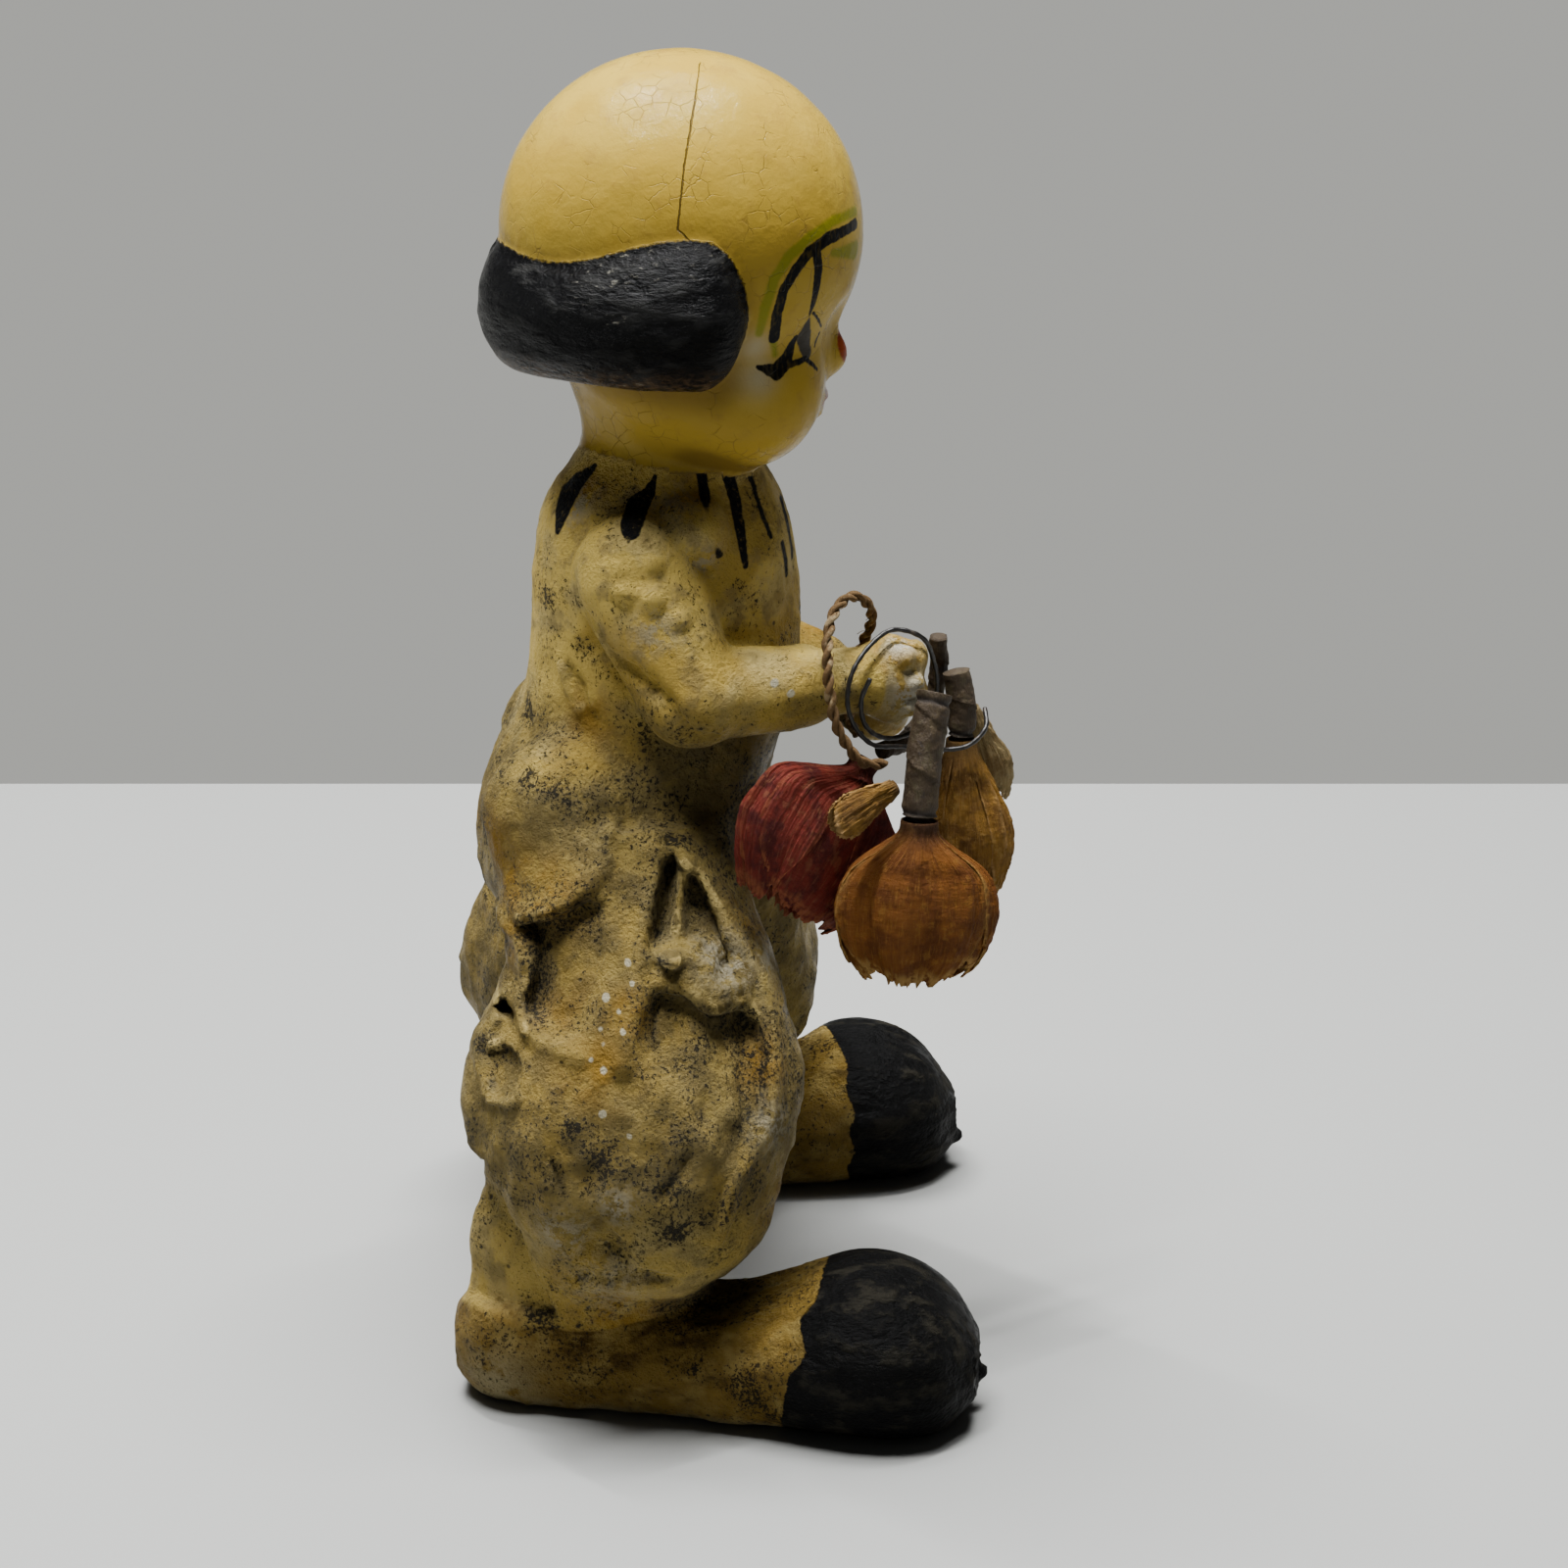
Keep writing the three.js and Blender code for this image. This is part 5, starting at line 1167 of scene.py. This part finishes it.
class Bell:
    """A crepe flower that hangs from its neck, wide across and flat the other way."""

    def __init__(self, neck, mouth, across, neck_radius, radius, flat, waves, turn, profile):
        self.neck, mouth, across = np.array(neck, float), np.array(mouth, float), np.array(across, float)
        self.span = np.linalg.norm(mouth - self.neck)
        self.along = (mouth - self.neck) / self.span
        self.wide = unit(across - (across @ self.along) * self.along)
        self.thin = np.cross(self.wide, self.along)
        self.flat, self.waves, self.turn = flat, waves, turn
        self.size = smooth_rows([
            (0, neck_radius), (0.1, neck_radius * 1.2),
            *[(t, radius * share) for t, share in zip(PROFILE_AT, profile)],
        ])

    def surface(self, angle, t, lift):
        """Places on the bell, lifted off it by a little. t runs from the neck to the mouth."""
        lobe = 0.07 * np.cos(self.waves * angle + self.turn) + 0.05 * np.cos(3 * angle + 2 * self.turn)
        radius = self.size(np.clip(t, 0, 1).ravel())[:, 1].reshape(t.shape) * (1 + t * lobe) + lift
        thinness = mix(1.0, self.flat, smooth(3 * t))
        return (
            self.neck
            + (self.span * t)[..., None] * self.along
            + (radius * np.cos(angle))[..., None] * self.wide
            + (radius * thinness * np.sin(angle))[..., None] * self.thin
        )


def sheet_mesh(outer, inner):
    """A closed thin sheet from two grids of points, with its edges joined round."""
    rows, columns = outer.shape[:2]
    vertices = np.concatenate([outer.reshape(-1, 3), inner.reshape(-1, 3)])
    at = np.arange(rows * columns).reshape(rows, columns)
    under = at + rows * columns

    def quads(a, b, c, d):
        return np.stack([a.ravel(), b.ravel(), c.ravel(), d.ravel()], axis=1)

    faces = [
        quads(at[:-1, :-1], at[1:, :-1], at[1:, 1:], at[:-1, 1:]),
        quads(under[:-1, :-1], under[:-1, 1:], under[1:, 1:], under[1:, :-1]),
        quads(at[:-1, 0], under[:-1, 0], under[1:, 0], at[1:, 0]),
        quads(at[:-1, -1], at[1:, -1], under[1:, -1], under[:-1, -1]),
        quads(at[0, :-1], at[0, 1:], under[0, 1:], under[0, :-1]),
        quads(at[-1, :-1], under[-1, :-1], under[-1, 1:], at[-1, 1:]),
    ]
    return vertices, np.concatenate(faces)


def join(parts):
    """Several (vertices, faces, values) meshes as one."""
    vertices, faces, values, start = [], [], [], 0
    for v, f, *rest in parts:
        vertices.append(v)
        faces.append(f + start)
        values.append(rest)
        start += len(v)
    columns = [np.concatenate(column) for column in zip(*values)]
    return np.concatenate(vertices), np.concatenate(faces), columns


def rows_of(*columns):
    """Grids of values as rows, one for each place."""
    return np.stack(columns, axis=-1).reshape(-1, len(columns))


def petals(bell, petal_list, rows, columns, seed, wrinkle=0.22, frayed=1.0):
    """Overlapping sheets of crepe laid over a bell. Each petal is (middle angle, half width, end, lift)."""
    parts = []
    for middle, half, end, lift in petal_list:
        u = np.linspace(-1, 1, columns)[None, :].repeat(rows, axis=0)
        v = np.linspace(0, 1, rows)[:, None].repeat(columns, axis=1)
        around = rows_of(u * half * 9, np.zeros_like(u) + middle * 7, np.zeros_like(u))
        ends = 1.3 * lumps(around, 1.3, seed + 1) + 0.7 * lumps(around, 0.5, seed + 2)
        ends += 0.22 * lumps(around, 0.22, seed + 3)
        ends = ends.reshape(rows, columns) * frayed * 0.032
        curve = 1 - 0.16 * np.abs(u) ** 3
        t = v * (end * curve + ends)
        width = half * (1 - 0.22 * v**6)
        angle = middle + u * width + 0.05 * np.sin(5 * v + middle * 3) * v
        fibre_place = rows_of(angle * 26, t * 2.2, np.full_like(t, seed + middle))
        fibres = lumps(fibre_place, 1.0, seed + 4) + 0.7 * lumps(fibre_place, 0.45, seed + 5)
        puckers = lumps(rows_of(angle * 5, t * 3, t * 0 + middle), 0.8, seed + 6)
        crossing = lumps(rows_of(angle * 9, t * 34, t * 0 + middle), 1.0, seed + 7)
        relief = (wrinkle * fibres + 0.45 * puckers + 0.14 * crossing).reshape(rows, columns) * smooth(t * 5)
        edge_lift = lift * smooth(t * 2.5) + 0.35 * np.abs(u) ** 4 * smooth(t * 3) * lift
        out = bell.surface(angle, t, edge_lift + relief)
        back = bell.surface(angle, t, edge_lift + relief - 0.35)
        vertices, faces = sheet_mesh(out, back)
        worn = np.tile(smooth((v - 0.86) / 0.14).ravel(), 2)
        sides = np.tile((np.abs(u) ** 5).ravel(), 2)
        uv = np.tile(rows_of(angle * 0.011, t * bell.span * 0.001), (2, 1))
        parts.append((vertices, faces, np.maximum(worn, 0.6 * sides), np.tile(v.ravel(), 2), uv))
    # A packed core behind the petals.
    rows, columns = 40, 72
    angle = np.linspace(0, 2 * math.pi, columns, endpoint=False)[None, :].repeat(rows, axis=0)
    t = np.linspace(0.0, 0.9, rows)[:, None].repeat(columns, axis=1)
    crumple = lumps(rows_of(np.cos(angle) * 3, np.sin(angle) * 3, t * 4), 0.6, seed + 8)
    ring = bell.surface(angle, t, -0.9 + 0.3 * crumple.reshape(rows, columns))
    ring = np.concatenate([np.tile(bell.neck, (1, columns, 1)), ring,
                           np.tile(bell.neck + bell.along * bell.span * 0.8, (1, columns, 1))])
    at = np.arange(ring.shape[0] * columns).reshape(-1, columns)
    after = np.roll(at, -1, axis=1)
    faces = np.stack([at[:-1].ravel(), at[1:].ravel(), after[1:].ravel(), after[:-1].ravel()], axis=1)
    vertices = ring.reshape(-1, 3)
    down = np.clip((vertices - bell.neck) @ bell.along / bell.span, 0, 1)
    uv = np.stack([np.tile(angle[0], ring.shape[0]) * 0.011, down * bell.span * 0.001], axis=-1)
    parts.append((vertices, faces, np.zeros(len(vertices)), down, uv))
    return join(parts)


def crepe_paint(name, base, deep, light, rim, dark_neck=0.6):
    p = Paint(name)
    place = p.place()
    uv = p.node("TexCoord", output="UV")
    flat = p.node("VectorMath", {0: uv, "Scale": 1000.0}, operation="SCALE")
    fibres = p.noise(p.stretch(flat, (1.0, 0.10, 1.0)), 0.35, detail=4.0, roughness=0.7)
    threads = p.noise(p.stretch(flat, (1.0, 0.06, 1.0)), 0.9, detail=3.0, roughness=0.6)
    crinkle = p.noise(p.stretch(flat, (0.35, 1.0, 1.0)), 0.5, detail=3.0, roughness=0.6)
    blotch = p.noise(place, 4.5, detail=5.0, roughness=0.62)
    down = p.value("down")
    worn = p.value("worn")
    colour = p.layers(
        base,
        (deep, p.rise(blotch, 0.44, 0.62)),
        (light, p.times(p.rise(fibres, 0.52, 0.72), 0.75)),
        (light, p.times(p.rise(p.noise(place, 2.2, detail=5.0), 0.58, 0.66), 0.45)),
        (deep, p.times(p.rise(threads, 0.55, 0.72), 0.6)),
        (rim, p.times(p.rise(worn, 0.15, 0.85), p.rise(p.noise(place, 1.2, detail=4.0), 0.34, 0.54))),
        (rgb(0.02, 0.012, 0.006), p.times(p.rise(down, 0.22, 0.0), dark_neck)),
    )
    height = p.plus(p.times(fibres, 0.35), p.times(threads, 0.4), p.times(crinkle, 0.25))
    roughness = p.numbers(blotch, 0.62, 0.86)
    return p.finish(colour, roughness, height, 1.0, Specular_IOR_Level=0.2)


def place_flower(name, node, slot, bell, petal_list, paint, seed, rows=70, columns=70, **settings):
    vertices, faces, (worn, down, uv) = petals(bell, petal_list, rows, columns, seed, **settings)
    thing = to_object(name, vertices, faces, paint, {"worn": worn, "down": down}, uv)
    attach(thing, "root")
    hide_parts(node)


TAU = 2 * math.pi
orange_crepe = crepe_paint("orange_crepe_paper", rgb(0.15, 0.050, 0.004), rgb(0.09, 0.026, 0.002),
                           rgb(0.23, 0.105, 0.016), rgb(0.29, 0.165, 0.045))
red_crepe = crepe_paint("red_crepe_paper", rgb(0.14, 0.015, 0.008), rgb(0.06, 0.006, 0.005),
                        rgb(0.19, 0.07, 0.030), rgb(0.22, 0.062, 0.024))
ochre_crepe = crepe_paint("ochre_crepe_paper", rgb(0.24, 0.12, 0.018), rgb(0.13, 0.06, 0.010),
                          rgb(0.36, 0.22, 0.06), rgb(0.34, 0.20, 0.07))
grey_crepe = crepe_paint("grey_crepe_paper", rgb(0.34, 0.25, 0.11), rgb(0.20, 0.13, 0.05),
                         rgb(0.44, 0.36, 0.20), rgb(0.40, 0.30, 0.15), dark_neck=0.3)

place_flower(
    "orange_crepe_flower", "orange_flower", "orange_crepe_paper",
    Bell((-27.6, -30.7, 89), (-30.5, -29.2, 64.6), (0.1, -1, 0), 2.8, 11.2, 0.5, 7, 0.4, PUFF),
    [(0.55 * math.pi, 0.9, 0.98, 0.1), (0.2, 1.0, 0.95, 0.2), (math.pi + 0.3, 1.0, 0.96, 0.1),
     (1.5 * math.pi, 1.25, 1.0, 0.5), (0.1 * math.pi, 0.75, 0.93, 0.7), (0.93 * math.pi, 0.6, 0.95, 0.55)],
    orange_crepe, 40, rows=88, columns=88,
)
place_flower(
    "red_crepe_flower", "red_flower", "red_crepe_paper",
    Bell((-20, -22.8, 96), (-30.8, -10, 75.6), (0.75, -1, -0.4), 2.4, 15.2, 0.25, 8, 2.1, SHAWL),
    [(0.5 * math.pi, 1.2, 0.97, 0.1), (0.1, 0.9, 0.95, 0.2), (math.pi, 1.0, 1.0, 0.2),
     (1.5 * math.pi, 1.1, 0.97, 0.4), (1.2 * math.pi, 0.7, 0.99, 0.7), (1.75 * math.pi, 0.6, 0.95, 0.6)],
    red_crepe, 60, rows=88, columns=88, wrinkle=0.3,
)
place_flower(
    "ochre_crepe_flower", "ochre_flower", "ochre_crepe_paper",
    Bell((-13, -37.4, 97), (-14, -38.6, 70.6), (0, -1, 0), 2.3, 6.6, 0.7, 5, 1.2, BELL),
    [(0.5 * math.pi, 1.3, 0.97, 0.1), (0.2, 1.0, 0.98, 0.2), (math.pi, 1.0, 0.98, 0.2),
     (1.5 * math.pi, 1.1, 0.95, 0.4), (1.85 * math.pi, 0.6, 0.92, 0.6)],
    ochre_crepe, 80, rows=80, columns=60,
)
place_flower(
    "grey_crepe_flower", "grey_flower", "grey_crepe_paper",
    Bell((-9.2, -38.8, 100.6), (-6.4, -42.6, 84.6), (0, -1, -0.3), 1.5, 3.8, 0.5, 4, 0.3, BELL),
    [(0.5 * math.pi, 1.4, 0.97, 0.1), (0.0, 1.2, 0.98, 0.2), (1.4 * math.pi, 1.2, 0.98, 0.3)],
    grey_crepe, 90, rows=60, columns=50,
)
place_flower(
    "ribbed_paper_tab", "ribbed_leaf", "ochre_crepe_paper",
    Bell((-29.8, -26.8, 95), (-36.6, -17.6, 91.2), (0.1, -0.4, -1), 1.3, 3.5, 0.36, 4, 1.3, FAN),
    [(0.5 * math.pi, 1.3, 0.98, 0.05), (1.5 * math.pi, 1.3, 1.0, 0.2)],
    ochre_crepe, 97, rows=60, columns=50, frayed=0.8,
)


def curve_through(points, count):
    """Evenly spaced places on a smooth curve through some points."""
    points = np.array(points, float)
    padded = np.concatenate([2 * points[:1] - points[1:2], points, 2 * points[-1:] - points[-2:-1]])
    dense = []
    for i in range(1, len(padded) - 2):
        near = padded[i - 1:i + 3]
        gaps = np.linalg.norm(np.diff(near, axis=0), axis=1)
        knots = np.cumsum([0, *np.maximum(gaps, 1e-6) ** 0.5])
        t = np.linspace(knots[1], knots[2], 24, endpoint=False)[:, None]

        def between(low, high, start, end):
            return (knots[end] - t) / (knots[end] - knots[start]) * low \
                + (t - knots[start]) / (knots[end] - knots[start]) * high

        first, second, third = (between(near[j], near[j + 1], j, j + 1) for j in range(3))
        dense.append(between(between(first, second, 0, 2), between(second, third, 1, 3), 1, 2))
    dense = np.concatenate([*dense, points[-1:]])
    run = np.concatenate([[0], np.cumsum(np.linalg.norm(np.diff(dense, axis=0), axis=1))])
    wanted = np.linspace(0, run[-1], count)
    return np.stack([np.interp(wanted, run, dense[:, k]) for k in range(3)], axis=1), run[-1]


def frames_along(path):
    """Two directions square to a path at each of its places, carried along without twisting."""
    tangent = unit(np.gradient(path, axis=0))
    side = np.cross(tangent[0], (0.3, 0.2, 1.0))
    sides = []
    for direction in tangent:
        side = unit(side - (side @ direction) * direction)
        sides.append(side)
    sides = np.array(sides)
    return sides, np.cross(tangent, sides)


def tube(path, radius_at, around):
    """A closed tube on a path. radius_at(t, angle) gives its radius in millimetres."""
    side, up = frames_along(path)
    count = len(path)
    angle = np.linspace(0, TAU, around, endpoint=False)[None, :].repeat(count, axis=0)
    t = np.linspace(0, 1, count)[:, None].repeat(around, axis=1)
    radius = radius_at(t, angle)
    ring = path[:, None] + radius[..., None] * (
        np.cos(angle)[..., None] * side[:, None] + np.sin(angle)[..., None] * up[:, None])
    ring = np.concatenate([np.tile(path[0], (1, around, 1)), ring, np.tile(path[-1], (1, around, 1))])
    at = np.arange(ring.shape[0] * around).reshape(-1, around)
    after = np.roll(at, -1, axis=1)
    faces = np.stack([at[:-1].ravel(), after[:-1].ravel(), after[1:].ravel(), at[1:].ravel()], axis=1)
    down = np.concatenate([[0.0], np.linspace(0, 1, count), [1.0]]).repeat(around)
    return ring.reshape(-1, 3), faces, down


def wrapped_paint(name):
    p = Paint(name)
    place = p.place()
    blotch = p.noise(place, 2.6, detail=5.0, roughness=0.6)
    grain = p.noise(p.stretch(place, (1.0, 1.0, 0.3)), 0.5, detail=4.0, roughness=0.7)
    colour = p.layers(
        rgb(0.036, 0.020, 0.005),
        (rgb(0.062, 0.040, 0.014), p.rise(blotch, 0.50, 0.66)),
        (rgb(0.052, 0.038, 0.013), p.rise(p.noise(place, 3.6), 0.54, 0.66)),
        (rgb(0.03, 0.016, 0.005), p.times(p.rise(grain, 0.50, 0.68), 0.8)),
        (rgb(0.025, 0.015, 0.008), p.rise(p.noise(place, 1.5, detail=4.0), 0.66, 0.70)),
        (rgb(0.018, 0.011, 0.007), p.value("tied")),
    )
    height = p.plus(p.times(blotch, 0.5), p.times(grain, 0.35))
    return p.finish(colour, p.numbers(blotch, 0.6, 0.85), height, 1.0)


stem_paper = wrapped_paint("wrapped_stem_paper")


def place_stem(name, node, points, radius, seed, wraps, tied_at, around=40, rows=110):
    path, length = curve_through(points, rows)

    def radius_at(t, angle):
        spiral = (t * wraps + angle / TAU) % 1.0
        q = rows_of(np.cos(angle) * radius, np.sin(angle) * radius, t * length)
        relief = 0.16 * lumps(q, 1.6, seed) + 0.07 * lumps(q, 0.6, seed + 1)
        tie = np.zeros_like(t)
        for where in tied_at:
            tie += np.exp(-((t - where) * length / 0.45) ** 2)
        return radius - 0.12 + 0.22 * spiral**3 + relief.reshape(t.shape) - 0.35 * tie * (radius > 1.6)

    vertices, faces, down = tube(path, radius_at, around)
    tied = sum(np.exp(-((down - where) * length / 0.5) ** 2) for where in tied_at) if tied_at else down * 0
    thing = to_object(name, vertices, faces, stem_paper, {"tied": np.clip(tied, 0, 1)})
    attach(thing, "root")
    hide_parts(node)


place_stem("orange_wrapped_stem", "orange_stem",
           [(-22.8, -33, 107.4), (-24.2, -32.2, 103.6), (-26.2, -31.2, 96.6), (-27.4, -30.7, 89.7)],
           2.75, 120, 2.3, [0.97, 0.08])
place_stem("ochre_wrapped_stem", "ochre_stem",
           [(-12.2, -36.6, 107.4), (-12.4, -37.2, 104), (-12.8, -37.6, 100.6), (-13, -37.4, 97.6)],
           2.15, 130, 1.6, [0.95])
place_stem("red_wrapped_stem", "red_stem",
           [(-9.4, -33.9, 112), (-8.6, -34, 106), (-9, -32.6, 100.6), (-12.4, -29.2, 96.7),
            (-17.4, -25.2, 96.5)],
           1.45, 140, 5.0, [0.2])

CORD_STEPS = 520
WIRE_PATH = [
    (-22.8, -23.3, 109.6), (-23, -22, 106.3), (-22.8, -22.6, 102.4), (-20, -25.6, 99.4),
    (-16.6, -29.6, 99.1), (-14.2, -32.6, 101.4), (-13.8, -33.6, 105.5), (-14.5, -33, 109.8),
    (-16.4, -31.2, 114), (-17.6, -26.8, 115.6), (-20.4, -23.2, 113.9), (-23.3, -20.6, 110.6),
    (-24.4, -19.9, 106.6), (-24.2, -21, 102.6), (-22.6, -23.8, 99.2), (-20.4, -27.6, 98.2),
    (-18.8, -31.9, 97.6), (-17.2, -35.4, 96.6), (-16.6, -38.6, 97.2), (-15, -41, 99.4),
    (-11.8, -41, 101.4),
]


def wire_paint():
    p = Paint("black_wire")
    place = p.place()
    worn = p.noise(place, 1.4, detail=5.0, roughness=0.65)
    colour = p.layers(rgb(0.008, 0.007, 0.006), (rgb(0.05, 0.035, 0.022), p.rise(worn, 0.56, 0.68)))
    return p.finish(colour, p.numbers(worn, 0.28, 0.5), worn, 0.15)


def build_wire():
    path, _ = curve_through(WIRE_PATH, CORD_STEPS)
    vertices, faces, _ = tube(path, lambda t, angle: 0.37 + 0.03 * np.sin(t * 300), 14)
    wire = to_object("black_binding_wire", vertices, faces, wire_paint())
    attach(wire, "root")
    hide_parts("black_wire")


build_wire()

TWINE_LAY = 5.2  # one full turn of the two strands
TWINE_PATH = [
    (-23.6, -25.6, 96.4), (-25.4, -22.2, 97.4), (-26.4, -19.8, 100.4), (-27.2, -18, 104.6),
    (-27, -17.2, 109.2), (-25.6, -16.9, 113.8), (-22.4, -17.3, 117.8), (-19, -18.9, 120.1),
    (-16, -21.2, 120.3), (-13.6, -23.3, 118), (-11.4, -23.6, 114.8), (-9.4, -22.4, 111),
    (-8.6, -21, 107), (-8.8, -20.2, 102.8), (-11.4, -20.6, 99.4), (-15.2, -21.8, 98.2),
]


def twine_paint():
    p = Paint("twine")
    place = p.place()
    fibre = p.noise(p.stretch(place, (1.0, 1.0, 0.6)), 0.35, detail=4.0, roughness=0.7)
    stain = p.noise(place, 2.8, detail=4.0, roughness=0.6)
    colour = p.layers(
        rgb(0.13, 0.075, 0.030),
        (rgb(0.32, 0.24, 0.13), p.times(p.rise(stain, 0.54, 0.64), 0.8)),
        (rgb(0.05, 0.028, 0.014), p.times(p.rise(fibre, 0.52, 0.70), 0.75)),
    )
    return p.finish(colour, 0.85, fibre, 0.25, Specular_IOR_Level=0.2)


def build_twine():
    path, length = curve_through(TWINE_PATH, CORD_STEPS)
    side, up = frames_along(path)
    parts = []
    phase = np.linspace(0, TAU * length / TWINE_LAY, len(path))
    for turn in (0.0, math.pi):
        offset = 0.42 * (np.cos(phase + turn)[:, None] * side + np.sin(phase + turn)[:, None] * up)
        strand, faces, down = tube(path + offset, lambda t, a: 0.47 + 0.04 * np.sin(t * 90 + 3 * a), 12)
        parts.append((strand, faces, down))
    random = np.random.default_rng(5)
    for _ in range(46):
        start = random.integers(10, len(path) - 30)
        away = unit(random.normal(size=3)) * 0.9
        bend = unit(random.normal(size=3)) * 0.7
        ends = [path[start], path[start + 4] + away * 0.9, path[start + 12] + away + bend * 0.6]
        hair, _ = curve_through(ends, 8)
        strand, faces, down = tube(hair, lambda t, a: 0.05 + 0 * t, 4)
        parts.append((strand, faces, down))
    vertices, faces, _ = join(parts)
    thing = to_object("twisted_twine_loop", vertices, faces, twine_paint())
    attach(thing, "root")
    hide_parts("twine_loop")


build_twine()


# The stage: a plain pale floor, soft light from above, and the camera, in metres.
STRIP_PLACES = [(-0.12, 0.16), (0.06, -0.10), (0.20, 0.22)]


def stage_floor():
    p = Paint("floor")
    colour = rgb(0.30, 0.304, 0.294)
    material = p.finish(colour, 0.65, p.noise(p.place(), 30.0), 0.02)
    mesh = bpy.data.meshes.new("floor")
    half, back = 3.0, 0.246
    corners = [(-half, -half, 0), (back, -half, 0), (back, half, 0), (-half, half, 0)]
    mesh.from_pydata(corners, [], [(0, 1, 2, 3)])
    mesh.materials.append(material)
    floor = bpy.data.objects.new("floor", mesh)
    bpy.context.scene.collection.objects.link(floor)


def add_light(name, location, size, power, length=None):
    light = bpy.data.lights.new(name, "AREA")
    light.shape = "DISK" if length is None else "RECTANGLE"
    light.size = size
    if length is not None:
        light.size_y = length
    light.energy = power
    thing = bpy.data.objects.new(name, light)
    thing.location = location
    toward = np.array((0.0, 0.0, 0.09)) - np.array(location)
    pitch = math.atan2(math.hypot(toward[0], toward[1]), -toward[2])
    thing.rotation_euler = (pitch, 0.0, math.atan2(-toward[0], toward[1]))
    bpy.context.scene.collection.objects.link(thing)


def light_world():
    """Pale grey behind the floor's far edge, and nearly dark above."""
    world = bpy.data.worlds.new("studio")
    bpy.context.scene.world = world
    world.use_nodes = True
    tree = world.node_tree
    direction = tree.nodes.new("ShaderNodeTexCoord").outputs["Generated"]
    split = tree.nodes.new("ShaderNodeSeparateXYZ")
    ramp = tree.nodes.new("ShaderNodeMapRange")
    shade = tree.nodes.new("ShaderNodeMix")
    shade.data_type = "RGBA"
    shade.inputs[6].default_value = rgb(0.44, 0.44, 0.415)
    shade.inputs[7].default_value = rgb(0.05, 0.05, 0.048)
    ramp.inputs["From Min"].default_value = -0.08
    ramp.inputs["From Max"].default_value = 0.02
    tree.links.new(direction, split.inputs[0])
    tree.links.new(split.outputs["Z"], ramp.inputs["Value"])
    tree.links.new(ramp.outputs["Result"], shade.inputs[0])
    tree.links.new(shade.outputs[2], tree.nodes["Background"].inputs["Color"])


stage_floor()
light_world()
add_light("overhead", (0.12, 0.08, 0.95), 0.80, 22.0)
for number, (x, y) in enumerate(STRIP_PLACES):
    add_light(f"bright_strip_{number}", (x, y, 0.93), 0.018, 6.2, length=0.30)

lens = bpy.data.cameras.new("camera")
lens.lens = 90.0
lens.sensor_width = 36.0
lens.clip_start = 0.01
camera = bpy.data.objects.new("camera", lens)
camera.location = (-0.578, -0.0105, 0.2853)
camera.rotation_euler = (math.radians(90.0 - 19.1), 0.0, math.radians(-90.0))
bpy.context.scene.collection.objects.link(camera)
bpy.context.scene.camera = camera
